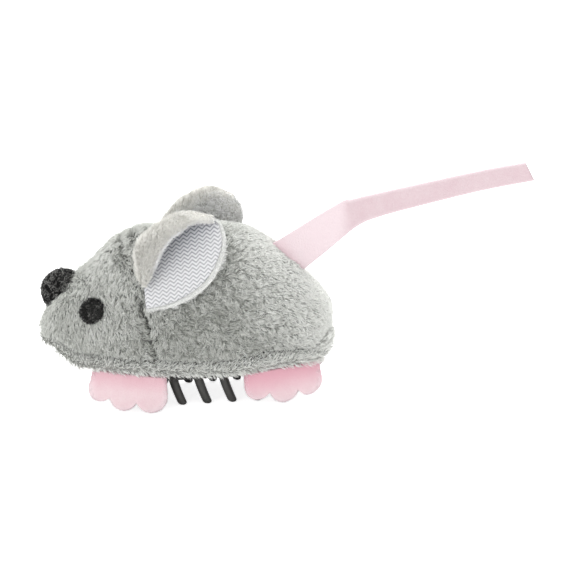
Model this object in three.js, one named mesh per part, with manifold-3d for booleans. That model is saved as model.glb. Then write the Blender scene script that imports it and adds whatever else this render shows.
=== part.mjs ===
// A plush mouse for cats that runs by itself. A vibrating crawler with twelve rubber legs sits
// in a stuffed plush cover with ears, nose, eyes, four felt paws and a felt tail.
// Millimetres, +Z up, the head towards -X, the floor at z = 0.
import * as THREE from "three";
import { mergeVertices } from "three/addons/utils/BufferGeometryUtils.js";
import Module from "manifold-3d";

const wasm = await Module();
wasm.setup();

// Driving dimensions of the cover
const BODY_LENGTH = 55.1; // snout to rump
const BODY_WIDTH = 25.2;
const RIDGE_HEIGHT = 32.9; // top of the back above the floor
const HEM_HEIGHT = 5.45; // lowest point of the cover above the floor
const WIDEST_SHARE = 0.27; // height of the widest line, as a share of a section's height
const PLUSH_THICKNESS = 1.7; // knitted ground and pile together
const HEM_RISE = 2.4; // how far the belly panel turns up at the sides
const FACE_SEAM_X = -7.4; // where the face meets the back, at the height FACE_SEAM_Z
const FACE_SEAM_Z = 20;
const FACE_SEAM_LEAN = 0.206; // how far the seam runs forward for each millimetre up
const GAP = 0.3; // between pieces that touch
const SEAM_GAP = 0.3; // between two panels of the cover

// Driving dimensions of the trim
const FELT_THICKNESS = 1.2;
const EAR_THICKNESS = 1.1;
const EAR_STAND_OFF = 0.9; // from the cover's side to the middle of the ear's wall, at its root
const EAR_LEAN = 0.2; // how far the ear leans inwards for each millimetre up
const EAR_ROLL = 1.9; // radius of the rolled front edge at its fullest
const NOSE_RADIUS = 4.5;
const NOSE_WIDTH = 7.6;
const NOSE_FROM_SNOUT = 5.45;
const NOSE_HEIGHT = 21;
const EYE_RADIUS = 2.4;
const EYE_PROUD = 0.9;
const EYE_FROM_SNOUT = 11.7;
const EYE_HEIGHT = 19.5;
const PAW_SPLAY = 0.25; // how far a paw stands out for each millimetre down
const PAW_TUCK = 0.9; // from the cover's edge in to the middle of the felt
const PAW_TOP = 9;
const PAW_GAP = 0.12; // between a paw's sewn edge and the hem

// Driving dimensions of the crawler. Places along it hold for the cover's drawn length, and they
// stretch with the cover. The cell, its screw and the walls keep their sizes.
const CRAWLER_FRONT = -19.5;
const CRAWLER_REAR = 20.5;
const CRAWLER_WIDTH = 15;
const CRAWLER_BOTTOM = 5.2;
const FRONT_CORNER = 6.5;
const REAR_CORNER = 4.5;
const SHELL_WALL = 1.1;
const FLOOR_WALL = 1.3;
const TUB_WALL = 1.2; // floor of the lower shell, over the keel
const LIP_DEPTH = 1.2;
const LIP_TO_FLOOR = 0.8;
const LIP_WALL = 0.6;
const BOW_LENGTH = 6; // of the slanted underside of the front
const BOW_SLOPE = 0.778;
const KEEL_INSET = 1.8; // from the crawler's side in to the keel's
const KEEL_DEPTH = 2.6;
const KEEL_SET_BACK = 3; // from the crawler's front
const KEEL_FRONT_CORNER = 3;
const KEEL_REAR_CORNER = 2;
const KEEL_ROOM_FRONT = -11.5; // front of the room inside the keel
const LEGS_A_SIDE = 6;
const LEG_PITCH = 4.6;
const LEG_MIDDLE = 0.5; // of the row of soles
const LEG_LEAN = 1.6; // how far a sole lies behind its hip
const LEG_BOW = 0.12; // how far a leg bows forward at its middle
const LEG_HIP_RADIUS = 0.85;
const LEG_SOLE_RADIUS = 0.7;
const COMB_INSET = 0.6; // from the crawler's side in to the middle of a leg row
const COMB_WIDTH = 1.6;
const COMB_BOTTOM = 4.9;
const COMB_END = 1.6; // past the middle of the last hip
const PEG_RADIUS = 0.45;
const PEG_HEIGHT = 0.6;
const PEG_INSET = 0.4; // from the middle of a leg row
const MOTOR_RADIUS = 3;
const MOTOR_LENGTH = 9.2;
const MOTOR_COLLAR = 0.6; // length of the bearing that stands out of its front
const MOTOR_CAP = 1.1;
const RIB_THICKNESS = 1.2;
const RIB_FROM_END = 1; // from the motor's end
const RIB_ROOM = 1.3; // beside a rib that the motor lies on
const SHAFT_RADIUS = 0.4;
const SHAFT_CLEARANCE = 0.08;
const WEIGHT_BORE_CLEARANCE = 0.05; // the weight is pressed on, with this much drawn
const WEIGHT_SET_BACK = 3.6; // from the crawler's front
const WEIGHT_LENGTH = 3.9;
const WEIGHT_HUB_RADIUS = 1.2;
const WEIGHT_TO_MOTOR = 1;
const WEIGHT_SWEEP = 190; // degrees of the weight's sector
const CELL_RADIUS = 5.8; // a button cell 11.6 x 5.4
const CELL_THICKNESS = 5.4;
const CELL_RIM = 0.9; // from the can's edge in to the cap
const CELL_TO_SHELL = 1.2; // behind the cell
const HEADROOM = 0.4; // under the upper shell
const DOOR_THICKNESS = 1.3;
const DOOR_LEDGE = 1.5; // past the cell on each side
const DOOR_END = 0.8; // behind the cell
const DOOR_NOSE = 2.2; // in front of the screw
const GRIPS = 5;
const GRIP_PITCH = 1.1;
const GRIP_WIDTH = 0.6;
const GRIP_LENGTH = 4.4;
const GRIP_DEPTH = 0.3;
const SCREW_HEAD_RADIUS = 1.5;
const SCREW_HEAD_HEIGHT = 0.6;
const SCREW_SHANK_RADIUS = 0.7;
const SCREW_LENGTH = 4.4;
const SCREW_CROSS = 1.9; // length of a slot of the cross
const SCREW_SLOT = 0.4;
const SCREW_SINK = 0.1; // of the head below the door's face
const BOSS_RADIUS = 2;
const BOSS_TO_WELL = 0.3;
const SWITCH_X = -5; // middle of the switch
const SWITCH_LENGTH = 6.8;
const SWITCH_WIDTH = 4;
const SWITCH_HEIGHT = 2.4;
const SWITCH_WALL = 0.5;
const SWITCH_TRAVEL = 2;
const SLIDER_TO_END = 0.4;
const KNOB_LENGTH = 1.6;
const KNOB_WIDTH = 1.6;
const KNOB_PROUD = 0.8;
const KNOB_GROOVE = 0.3;
const BOARD_TO_MOTOR = 0.6; // over the motor
const BOARD_THICKNESS = 0.8;
const BOARD_FRONT = -10;
const BOARD_TO_CELL = 7.1; // from the board's rear to the cell's axis
const BOARD_TO_LIP = 0.1;
const BOARD_FRONT_CORNER = 1.6;
const BOARD_REAR_CORNER = 0.8;
const POST_RADIUS = 0.6; // of the posts that the board lies on
const POST_INSET = 0.7;
const POST_FROM_FRONT = 0.8;
const POST_FROM_REAR = 1.6;
const CAPACITOR_X = -4.4;
const CAPACITOR_LENGTH = 1.6;
const CAPACITOR_WIDTH = 1.2;
const CAPACITOR_HEIGHT = 0.73;
const CONTACT_THICKNESS = 0.3;
const CONTACT_FRONT = 5.4; // from the cell's axis
const CONTACT_REAR = 2.2; // from the cell's axis
const CONTACT_STRIP = 0.6; // height of the strip that lies on the board
const CONTACT_LAP = 1.4; // of that strip over the board
const LEAD_RADIUS = 0.35;
const LEAD_REACH = 2.1; // behind the motor's cap
const LEAD_START = 1.3; // beside the motor's axis
const LEAD_END = 1.9; // beside the motor's axis, at the board

// Finishes
const finish = (color, roughness, metalness = 0) =>
  new THREE.MeshStandardMaterial({ color, roughness, metalness });
const plush = finish(0xb2b5ae, 1);
const earPlush = finish(0xc6c5bd, 1);
const blackPlush = finish(0x232422, 0.95);
const pinkFelt = finish(0xf0c8d0, 0.95);
const fibre = finish(0xf2f1ec, 1);
const blackRubber = finish(0x1d1e1c, 0.6);
const greyPlastic = finish(0x3a3c3e, 0.45);
const darkPlastic = finish(0x26282a, 0.4);
const steel = finish(0xb8babc, 0.3, 1);
const heavyMetal = finish(0x8d8f92, 0.4, 1);
const brass = finish(0xc9a24a, 0.35, 1);
const ceramic = finish(0x9a7a52, 0.5);
const greenBoard = finish(0x2c6b45, 0.5);
const redSleeve = finish(0xb02a24, 0.5);
const blueSleeve = finish(0x27448f, 0.5);

// A closed three.js geometry as a solid.
function solid(geometry) {
  const bare = geometry.index ? geometry.toNonIndexed() : geometry.clone();
  bare.deleteAttribute("normal");
  bare.deleteAttribute("uv");
  const merged = mergeVertices(bare, 1e-4);
  return new wasm.Manifold(
    new wasm.Mesh({
      numProp: 3,
      vertProperties: merged.attributes.position.array,
      triVerts: new Uint32Array(merged.index.array),
    }),
  );
}

// A solid as a three.js geometry, moved by -pivot.
function geometryOf(body, pivot) {
  const mesh = body.getMesh();
  const places = new Float32Array(mesh.numVert * 3);
  for (let i = 0; i < mesh.numVert; i++) {
    places.set(mesh.vertProperties.subarray(i * mesh.numProp, i * mesh.numProp + 3), i * 3);
  }
  const geometry = new THREE.BufferGeometry();
  geometry.setAttribute("position", new THREE.BufferAttribute(places, 3));
  geometry.setIndex(new THREE.BufferAttribute(new Uint32Array(mesh.triVerts), 1));
  geometry.translate(-pivot.x, -pivot.y, -pivot.z);
  geometry.computeVertexNormals();
  return geometry;
}

const mouse = new THREE.Group();
const ORIGIN = new THREE.Vector3(0, 0, 0);

// Adds one piece. A piece that moves is placed by its pivot.
function piece(name, body, material, pivot = ORIGIN) {
  const mesh = new THREE.Mesh(geometryOf(body, pivot), material);
  mesh.name = name;
  mesh.position.copy(pivot);
  mouse.add(mesh);
  return mesh;
}

function block(x0, x1, y0, y1, z0, z1) {
  const box = new THREE.BoxGeometry(x1 - x0, y1 - y0, z1 - z0);
  return solid(box.translate((x0 + x1) / 2, (y0 + y1) / 2, (z0 + z1) / 2));
}

// A round bar from one point to another, along any direction.
function bar(from, to, radius, sides = 16, endRadius = radius) {
  const start = new THREE.Vector3(...from);
  const way = new THREE.Vector3(...to).sub(start);
  const rod = new THREE.CylinderGeometry(endRadius, radius, way.length(), sides);
  rod.translate(0, way.length() / 2, 0);
  const turn = new THREE.Quaternion().setFromUnitVectors(
    new THREE.Vector3(0, 1, 0),
    way.clone().normalize(),
  );
  rod.applyQuaternion(turn);
  rod.translate(start.x, start.y, start.z);
  return solid(rod);
}

// An outline drawn in the XZ plane, extruded across Y from y0 to y1.
function sideCut(points, y0, y1) {
  const outline = new THREE.Shape(points.map(([x, z]) => new THREE.Vector2(x, z)));
  const slab = new THREE.ExtrudeGeometry(outline, { depth: y1 - y0, bevelEnabled: false });
  slab.rotateX(Math.PI / 2);
  slab.translate(0, y1, 0);
  return solid(slab);
}

// A closed surface of rings. Each ring is a list of points; a single point closes an end.
function rings(list) {
  const places = [];
  const corners = [];
  const starts = list.map((ring) => {
    const start = places.length / 3;
    ring.forEach((p) => places.push(p.x, p.y, p.z));
    return start;
  });
  for (let i = 0; i + 1 < list.length; i++) {
    const [a, b] = [list[i].length, list[i + 1].length];
    const count = Math.max(a, b);
    for (let k = 0; k < count; k++) {
      const n = (k + 1) % count;
      const p = starts[i] + (a > 1 ? k : 0);
      const q = starts[i] + (a > 1 ? n : 0);
      const r = starts[i + 1] + (b > 1 ? n : 0);
      const s = starts[i + 1] + (b > 1 ? k : 0);
      if (a > 1) corners.push(p, q, s);
      if (b > 1) corners.push(a > 1 ? q : p, r, s);
    }
  }
  const geometry = new THREE.BufferGeometry();
  geometry.setAttribute("position", new THREE.Float32BufferAttribute(places, 3));
  geometry.setIndex(corners);
  const made = solid(geometry);
  return made.volume() > 0 ? made : solid(flipped(geometry));
}

function flipped(geometry) {
  const corners = Array.from(geometry.index.array);
  for (let i = 0; i < corners.length; i += 3) {
    [corners[i + 1], corners[i + 2]] = [corners[i + 2], corners[i + 1]];
  }
  return geometry.setIndex(corners);
}

// The stuffed body. Each station is [from the snout, half width, underside, ridge], drawn on a
// body of the real size and stretched to the driving dimensions.
const STATIONS = [
  [0, 0, 13.6, 13.6],
  [0.4, 3, 12, 16.2],
  [2.4, 5.3, 11.4, 19.4],
  [4.4, 6.7, 9.9, 21.8],
  [7.4, 8.3, 7.8, 24.3],
  [11.2, 9.9, 7.1, 26.9],
  [15.7, 11.3, 6.6, 30.2],
  [19.4, 12, 6.2, 32],
  [25, 12.5, 5.7, 32.9],
  [31, 12.6, 5.45, 32.7],
  [38, 12.4, 5.45, 31.2],
  [42.4, 11.6, 5.6, 29],
  [45, 10.9, 5.9, 27.2],
  [49.4, 9.4, 6.2, 23.4],
  [52, 7.6, 6.2, 19.6],
  [53.8, 5.6, 7, 15.5],
  [54.8, 3, 8.2, 12.4],
  [55.1, 0, 10.2, 10.2],
];
const DRAWN = { length: 55.1, half: 12.6, under: 5.45, ridge: 32.9 };
const BODY_RINGS = 36;
const BODY_SIDES = 28;
const BODY_MIDDLE = 27.9; // from the snout to x = 0
const lengthwise = BODY_LENGTH / DRAWN.length;
const bodyFront = -BODY_MIDDLE * lengthwise;

const fromFloor = (z) =>
  HEM_HEIGHT + ((z - DRAWN.under) * (RIDGE_HEIGHT - HEM_HEIGHT)) / (DRAWN.ridge - DRAWN.under);
const stretched = STATIONS.map(([along, half, under, ridge]) => ({
  x: bodyFront + along * lengthwise,
  half: (half * BODY_WIDTH) / 2 / DRAWN.half,
  under: fromFloor(under),
  ridge: fromFloor(ridge),
}));
const plan = new THREE.CatmullRomCurve3(
  stretched.map((s) => new THREE.Vector3(s.x, s.half, s.under)),
  false,
  "catmullrom",
  0.5,
);
const ridgeLine = new THREE.CatmullRomCurve3(
  stretched.map((s) => new THREE.Vector3(s.x, s.ridge, 0)),
  false,
  "catmullrom",
  0.5,
);

function section(t) {
  const low = plan.getPoint(t);
  const high = ridgeLine.getPoint(t);
  return { x: low.x, half: low.y, under: low.z, ridge: high.y };
}

// The section whose x is nearest to the one asked for.
function sectionAt(x) {
  let low = 0;
  let high = 1;
  for (let i = 0; i < 40; i++) {
    const middle = (low + high) / 2;
    if (section(middle).x < x) low = middle;
    else high = middle;
  }
  return section(low);
}

const SIDE_POWER = 0.45; // below the widest line: smaller is squarer
const power = (value, exponent) => Math.sign(value) * Math.abs(value) ** exponent;

function sectionPoint({ x, half, under, ridge }, angle) {
  const level = under + WIDEST_SHARE * (ridge - under);
  const [c, s] = [Math.cos(angle), Math.sin(angle)];
  if (s >= 0) return new THREE.Vector3(x, half * c, level + (ridge - level) * s ** 0.95);
  return new THREE.Vector3(
    x,
    half * power(c, SIDE_POWER),
    level - (level - under) * Math.abs(s) ** SIDE_POWER,
  );
}

// The body's own shape, or one inside it by the inset. A negative inset lies outside it.
function bodyForm(inset) {
  const list = [];
  for (let i = 0; i <= BODY_RINGS; i++) {
    const share = (1 - Math.cos((Math.PI * i) / BODY_RINGS)) / 2;
    const here = section(0.35 * share + (0.65 * i) / BODY_RINGS);
    const ends = i === 0 || i === BODY_RINGS;
    const angles = ends ? [0] : [...Array(BODY_SIDES).keys()];
    list.push(
      angles.map((k) =>
        ends
          ? new THREE.Vector3(here.x, 0, here.under)
          : sectionPoint(here, (k * 2 * Math.PI) / BODY_SIDES),
      ),
    );
  }
  const middle = new THREE.Vector3(
    bodyFront + BODY_LENGTH / 2,
    0,
    (HEM_HEIGHT + RIDGE_HEIGHT) / 2,
  );
  const shrink = new THREE.Vector3(
    1 - (2 * inset) / BODY_LENGTH,
    1 - (2 * inset) / BODY_WIDTH,
    1 - (2 * inset) / (RIDGE_HEIGHT - HEM_HEIGHT),
  );
  list.flat().forEach((p) => p.sub(middle).multiply(shrink).add(middle));
  return rings(list);
}

const body = bodyForm(0);
const bodyInside = bodyForm(PLUSH_THICKNESS);
const bodyAround = bodyForm(-GAP);
const REACH = 60; // past everything, for cutting blocks

// Half the cover's width at a place on its side.
function sideOfBody(x, z) {
  const here = sectionAt(x);
  const level = here.under + WIDEST_SHARE * (here.ridge - here.under);
  const up = Math.min(1, Math.max(0, (z - level) / (here.ridge - level)));
  const angle = Math.asin(up ** (1 / 0.95));
  return here.half * Math.cos(angle);
}

const faceSeamAt = (z) => FACE_SEAM_X - FACE_SEAM_LEAN * (z - FACE_SEAM_Z);

// Everything below the seam between the belly panel and the sides, raised by lift.
function belowHem(lift) {
  const line = [];
  for (let t = 2; t <= STATIONS.length - 2; t++) {
    const here = section(t / (STATIONS.length - 1));
    line.push([here.x, here.under + HEM_RISE + lift]);
  }
  const first = line[0];
  const last = line[line.length - 1];
  return sideCut(
    [[-REACH, -REACH], [REACH, -REACH], [REACH, last[1]], ...line.reverse(), [-REACH, first[1]]],
    -REACH,
    REACH,
  );
}

// Everything in front of the face seam, moved by shift.
function beforeFaceSeam(shift) {
  return sideCut(
    [
      [-REACH, -REACH],
      [faceSeamAt(-REACH) + shift, -REACH],
      [faceSeamAt(REACH) + shift, REACH],
      [-REACH, REACH],
    ],
    -REACH,
    REACH,
  );
}

// A plate with rounded corners seen from above, from z0 to z1.
function roundedPlate(x0, x1, half, frontRadius, rearRadius, z0, z1, bevel = 0) {
  const [a, b, h] = [x0 + bevel, x1 - bevel, half - bevel];
  const [f, r] = [Math.min(frontRadius - bevel, h), Math.min(rearRadius - bevel, h)];
  const shape = new THREE.Shape();
  shape.moveTo(a + f, -h);
  shape.lineTo(b - r, -h);
  shape.absarc(b - r, -h + r, r, -Math.PI / 2, 0, false);
  shape.absarc(b - r, h - r, r, 0, Math.PI / 2, false);
  shape.lineTo(a + f, h);
  shape.absarc(a + f, h - f, f, Math.PI / 2, Math.PI, false);
  shape.absarc(a + f, -h + f, f, Math.PI, 1.5 * Math.PI, false);
  const plate = new THREE.ExtrudeGeometry(shape, {
    depth: z1 - z0 - bevel,
    curveSegments: 5,
    bevelEnabled: bevel > 0,
    bevelSize: bevel,
    bevelThickness: bevel,
    bevelSegments: 3,
  });
  plate.translate(0, 0, z0);
  const made = solid(plate);
  return bevel > 0 ? made.subtract(block(-REACH, REACH, -REACH, REACH, z0 - REACH, z0)) : made;
}

const crawlerFront = CRAWLER_FRONT * lengthwise;
const crawlerRear = CRAWLER_REAR * lengthwise;
const keelHalf = CRAWLER_WIDTH / 2 - KEEL_INSET;
const legPitch = LEG_PITCH * lengthwise;
const firstSole = LEG_MIDDLE * lengthwise - ((LEGS_A_SIDE - 1) * legPitch) / 2;
const lastSole = firstSole + (LEGS_A_SIDE - 1) * legPitch;
const combFront = firstSole - LEG_LEAN - COMB_END;
const combRear = lastSole - LEG_LEAN + COMB_END;
const combY = CRAWLER_WIDTH / 2 - COMB_INSET;
const keelTop = CRAWLER_BOTTOM + KEEL_DEPTH;
const tubFloor = keelTop + TUB_WALL;
const crawlerSplit = tubFloor + LIP_DEPTH + LIP_TO_FLOOR;
const cellX = crawlerRear - SHELL_WALL - CELL_TO_SHELL - CELL_RADIUS;
const cellZ = CRAWLER_BOTTOM + DOOR_THICKNESS + GAP + CELL_RADIUS;
const keelCeiling = CRAWLER_BOTTOM + FLOOR_WALL;
const switchFloor = keelCeiling + GAP;
const switchTop = switchFloor + SWITCH_HEIGHT;
const motorZ = switchTop + GAP + MOTOR_RADIUS;
const boardZ = motorZ + MOTOR_RADIUS + BOARD_TO_MOTOR;
const stripBottom = boardZ + BOARD_THICKNESS + GAP;
const stripTop = stripBottom + CONTACT_STRIP;
const crawlerTop = Math.max(cellZ + CELL_RADIUS, stripTop) + HEADROOM + SHELL_WALL;
const crawlerPlan = (grow, z0, z1, bevel = 0) =>
  roundedPlate(
    crawlerFront - grow,
    crawlerRear + grow,
    CRAWLER_WIDTH / 2 + grow,
    FRONT_CORNER + grow,
    REAR_CORNER + grow,
    z0,
    z1,
    bevel,
  );

// The room that the crawler takes in the cover, with the leg rows beside its keel.
function crawlerRoom(clearance) {
  const side = combY + COMB_WIDTH / 2 + clearance;
  const legs = block(
    combFront - clearance,
    combRear + clearance,
    -side,
    side,
    -1,
    keelTop + clearance,
  );
  return crawlerPlan(clearance, -1, crawlerTop + clearance).add(legs);
}

// The cover: a face and a back on each side, and a belly panel that the crawler looks out of.
// Wherever the crawler lies against it, the soft cover gives way.
function makeCover() {
  const skin = body.subtract(bodyInside).subtract(crawlerRoom(GAP));
  const sides = skin.subtract(belowHem(SEAM_GAP));
  const faces = sides.intersect(beforeFaceSeam(-SEAM_GAP / 2));
  const backs = sides.subtract(beforeFaceSeam(SEAM_GAP / 2));
  const left = block(-REACH, REACH, -REACH, -SEAM_GAP / 2, -REACH, REACH);
  const right = block(-REACH, REACH, SEAM_GAP / 2, REACH, -REACH, REACH);
  piece("face_left", faces.intersect(left), plush);
  piece("face_right", faces.intersect(right), plush);
  piece("back_left", backs.intersect(left), plush);
  piece("back_right", backs.intersect(right), plush);
  piece("belly_panel", skin.intersect(belowHem(0)), plush);
}

// The largest of the bodies that a cut leaves.
function largest(cut) {
  return cut.decompose().sort((a, b) => b.volume() - a.volume())[0];
}

// Loose fibre between the cover and the crawler.
function makeStuffing() {
  const fill = largest(bodyForm(PLUSH_THICKNESS + GAP).subtract(crawlerRoom(GAP)));
  piece("stuffing", fill, fibre);
}

// An ear is one piece of plush that stands on the face seam. Three lines run from its root to
// its tip: the rear rim, the front fold, and the free edge of the part that is rolled back over.
const EAR_REAR_RIM = [
  [-4.4, 19.9],
  [-0.6, 20.2],
  [3.4, 21.6],
  [6.8, 23.8],
  [8.7, 26.6],
  [9.3, 29.4],
  [9.3, 32.2],
  [8.2, 35],
];
const EAR_FOLD = [
  [-7.3, 22.2],
  [-7.8, 24.5],
  [-7.3, 26.6],
  [-5.9, 29.5],
  [-3.8, 32.3],
  [-1.2, 34.7],
  [1.5, 36.2],
  [5, 36.9],
];
const EAR_FREE_EDGE = [
  [-5.9, 21],
  [-6, 23.2],
  [-5.2, 25.1],
  [-3.7, 27.6],
  [-2, 30.1],
  [0.3, 32.5],
  [3.2, 34.5],
  [6.7, 35.6],
];
const EAR_ROOT_Z = 20;
const EAR_ROOT_X = -6;
const EAR_ROWS = 12;
const EAR_WALL_STEPS = 5;
const EAR_ROLL_STEPS = 6;

const earLine = (points) =>
  new THREE.CatmullRomCurve3(
    points.map(([x, z]) => new THREE.Vector3(x, 0, z)),
    false,
    "catmullrom",
    0.5,
  );
const earRearRim = earLine(EAR_REAR_RIM);
const earFold = earLine(EAR_FOLD);
const earFreeEdge = earLine(EAR_FREE_EDGE);
const earRootSide = sideOfBody(EAR_ROOT_X, EAR_ROOT_Z) + EAR_STAND_OFF;

// One line across the ear, from the rear rim round the fold to the free edge. Depth is outwards.
function earRow(t) {
  const rim = earRearRim.getPoint(t);
  const fold = earFold.getPoint(t);
  const edge = earFreeEdge.getPoint(t);
  const across = fold.clone().sub(rim);
  const width = across.length();
  across.normalize();
  const fullness = Math.sin(Math.PI * Math.min(1, 0.18 + t * 0.82)) ** 0.6;
  const roll = Math.min(EAR_ROLL * fullness, width / 3);
  const back = edge.clone().sub(fold);
  const flap = back.length();
  const row = [];
  const add = (along, depth) => {
    const p = rim.clone().addScaledVector(across, along);
    p.y = depth;
    row.push(p);
  };
  for (let k = 0; k < EAR_WALL_STEPS; k++) {
    const share = k / EAR_WALL_STEPS;
    add(share * (width - roll), 0.9 * roll * (1 - share) ** 2);
  }
  for (let k = 0; k <= EAR_ROLL_STEPS; k++) {
    const turn = (Math.PI * k) / EAR_ROLL_STEPS;
    add(width - roll + roll * Math.sin(turn), roll * (1 - Math.cos(turn)));
  }
  const rolledEnd = row[row.length - 1];
  const last = fold.clone().addScaledVector(back, Math.max(1, (roll * 1.05) / flap));
  last.y = 2 * roll - 0.2;
  row.push(rolledEnd.clone().lerp(last, 0.5));
  row.push(last);
  return row;
}

// The ear's sheet with its thickness: every row of points, once for each face.
function earSolid() {
  const rows = [];
  for (let i = 0; i <= EAR_ROWS; i++) rows.push(earRow((0.97 * i) / EAR_ROWS));
  const lean = (p) => {
    const side = earRootSide + p.y - EAR_LEAN * (p.z - EAR_ROOT_Z);
    return new THREE.Vector3(p.x, -side, p.z);
  };
  const sheet = rows.map((row) => row.map(lean));
  const normalAt = (i, k) => {
    const row = sheet[i];
    const a = row[Math.min(k + 1, row.length - 1)].clone().sub(row[Math.max(k - 1, 0)]);
    const b = sheet[Math.min(i + 1, EAR_ROWS)][k].clone().sub(sheet[Math.max(i - 1, 0)][k]);
    return a.cross(b).normalize();
  };
  const face = (side) =>
    sheet.map((row, i) =>
      row.map((p, k) => p.clone().addScaledVector(normalAt(i, k), (side * EAR_THICKNESS) / 2)),
    );
  const front = face(1);
  const rear = face(-1);
  return rings([
    [middleOf(front[0].concat(rear[0]))],
    ...front.map((row, i) => row.concat(rear[i].slice().reverse())),
    [middleOf(front[EAR_ROWS].concat(rear[EAR_ROWS]))],
  ]);
}

function middleOf(points) {
  const sum = new THREE.Vector3();
  points.forEach((p) => sum.add(p));
  return sum.divideScalar(points.length);
}

function makeEars() {
  const ear = earSolid().subtract(bodyAround);
  const root = new THREE.Vector3(EAR_ROOT_X, -earRootSide, EAR_ROOT_Z);
  piece("ear_left", ear, earPlush, root);
  const mirrored = root.clone().multiply(new THREE.Vector3(1, -1, 1));
  piece("ear_right", ear.mirror([0, 1, 0]), earPlush, mirrored);
}

// A ball stretched to three half sizes.
function ellipsoid(centre, halfX, halfY, halfZ, segments = 16) {
  const ball = new THREE.SphereGeometry(1, segments, Math.round(segments / 2));
  ball.rotateX(Math.PI / 2);
  ball.scale(halfX, halfY, halfZ);
  ball.translate(centre.x, centre.y, centre.z);
  return solid(ball);
}

// The nose is a black plush cap on the slope of the face, and the eyes are black felt buttons.
function makeNoseAndEyes() {
  const nose = new THREE.Vector3(bodyFront + NOSE_FROM_SNOUT, 0, NOSE_HEIGHT);
  const cap = ellipsoid(nose, NOSE_RADIUS, NOSE_WIDTH / 2, NOSE_RADIUS, 20);
  piece("nose", cap.subtract(bodyAround), blackPlush);
  const eyeX = bodyFront + EYE_FROM_SNOUT;
  const side = sideOfBody(eyeX, EYE_HEIGHT);
  const ahead = sideOfBody(eyeX - 1, EYE_HEIGHT);
  const above = sideOfBody(eyeX, EYE_HEIGHT + 1);
  const outwards = new THREE.Vector3(ahead - side, -1, side - above).normalize();
  const place = new THREE.Vector3(eyeX, -side, EYE_HEIGHT);
  const start = place.clone().addScaledVector(outwards, GAP);
  const rim = place.clone().addScaledVector(outwards, GAP + EYE_PROUD * 0.55);
  const crown = place.clone().addScaledVector(outwards, GAP + EYE_PROUD);
  const button = bar(start.toArray(), rim.toArray(), EYE_RADIUS, 18);
  const dome = bar(rim.toArray(), crown.toArray(), EYE_RADIUS, 18, EYE_RADIUS * 0.75);
  const inwards = bar(
    place.clone().addScaledVector(outwards, -1).toArray(),
    start.clone().addScaledVector(outwards, 0.01).toArray(),
    EYE_RADIUS,
    18,
  );
  const eye = button.add(dome).add(inwards).subtract(bodyAround);
  piece("eye_left", eye, blackPlush);
  piece("eye_right", eye.mirror([0, 1, 0]), blackPlush);
}

// The tail is a strip of felt that stands on edge in the back's seam and bends once.
const TAIL_TOP_EDGE = [
  [16.2, 26.6],
  [28.9, 34.2],
  [32.4, 35.1],
  [44, 37],
  [55.8, 38.8],
  [63.5, 39.7],
];
const TAIL_LOW_EDGE = [
  [64.9, 36.3],
  [55.6, 35.1],
  [45.1, 33.2],
  [36.4, 31.4],
  [32.2, 29.8],
  [27.3, 25.6],
  [21.4, 21],
];
const TAIL_ROOT = [19.8, 25.1]; // middle of the root, on the ridge
const TAIL_GAP = 0.45; // from the cover, so that the tail can wag

function makeTail() {
  const shift = bodyFront + BODY_LENGTH - (DRAWN.length - BODY_MIDDLE);
  const rise = RIDGE_HEIGHT - DRAWN.ridge;
  const place = ([x, z]) => new THREE.Vector2(x + shift, z + rise);
  const top = new THREE.SplineCurve(TAIL_TOP_EDGE.map(place)).getPoints(14);
  const low = new THREE.SplineCurve(TAIL_LOW_EDGE.map(place)).getPoints(14);
  const strip = sideCut(
    [...top, ...low].map((p) => [p.x, p.y]),
    -FELT_THICKNESS / 2,
    FELT_THICKNESS / 2,
  );
  const root = place(TAIL_ROOT);
  piece("tail", strip.subtract(bodyForm(-TAIL_GAP)), pinkFelt, new THREE.Vector3(root.x, 0, root.y));
}

// A paw is felt with three toes. Its top is caught in the hem, so it follows the cover's edge.
// The top runs from one x to another, and each toe is [x, z, radius].
const FRONT_PAW_TOP = [-17.4, -3.4];
const FRONT_PAW_TOES = [
  [-16.2, 4.9, 2],
  [-12.1, 3.7, 2.85],
  [-6.5, 3.5, 3.1],
];
const REAR_PAW_TOP = [10.1, 23.2];
const REAR_PAW_TOES = [
  [12.4, 3.9, 2.55],
  [17.2, 3.4, 2.8],
  [21.3, 3.2, 2.3],
];
const PAW_CURVE_STEPS = 10;
const PAW_SPARE = 2; // of the sheet past the outline, before it is cut

// The outline of a paw as it shows from the side, cut through the whole width.
function pawOutline([from, to], toes) {
  const [firstX, firstZ, firstRadius] = toes[0];
  const [lastX, lastZ, lastRadius] = toes[toes.length - 1];
  let plate = sideCut(
    [
      [from, PAW_TOP],
      [firstX - firstRadius, firstZ],
      ...toes.map(([x, z]) => [x, z]),
      [lastX + lastRadius, lastZ],
      [to, PAW_TOP],
    ],
    -REACH,
    0,
  );
  for (const [x, z, radius] of toes) {
    plate = plate.add(bar([x, -REACH, z], [x, 0, z], radius, 20));
  }
  return plate;
}

// A sheet of felt that follows the cover's edge in plan and stands out towards the floor.
function pawSheet([from, to], hipZ) {
  const outer = [];
  const inner = [];
  for (let i = 0; i <= PAW_CURVE_STEPS; i++) {
    const x = from + ((to - from) * i) / PAW_CURVE_STEPS;
    const y = -(sectionAt(x).half - PAW_TUCK);
    outer.push(new THREE.Vector2(x, y - FELT_THICKNESS / 2));
    inner.unshift(new THREE.Vector2(x, y + FELT_THICKNESS / 2));
  }
  const band = new THREE.ExtrudeGeometry(new THREE.Shape([...outer, ...inner]), {
    depth: PAW_TOP,
    bevelEnabled: false,
  });
  const splay = new THREE.Matrix4().set(
    1, 0, 0, 0,
    0, 1, PAW_SPLAY, -PAW_SPLAY * hipZ,
    0, 0, 1, 0,
    0, 0, 0, 1,
  );
  return solid(band.applyMatrix4(splay));
}

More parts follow.
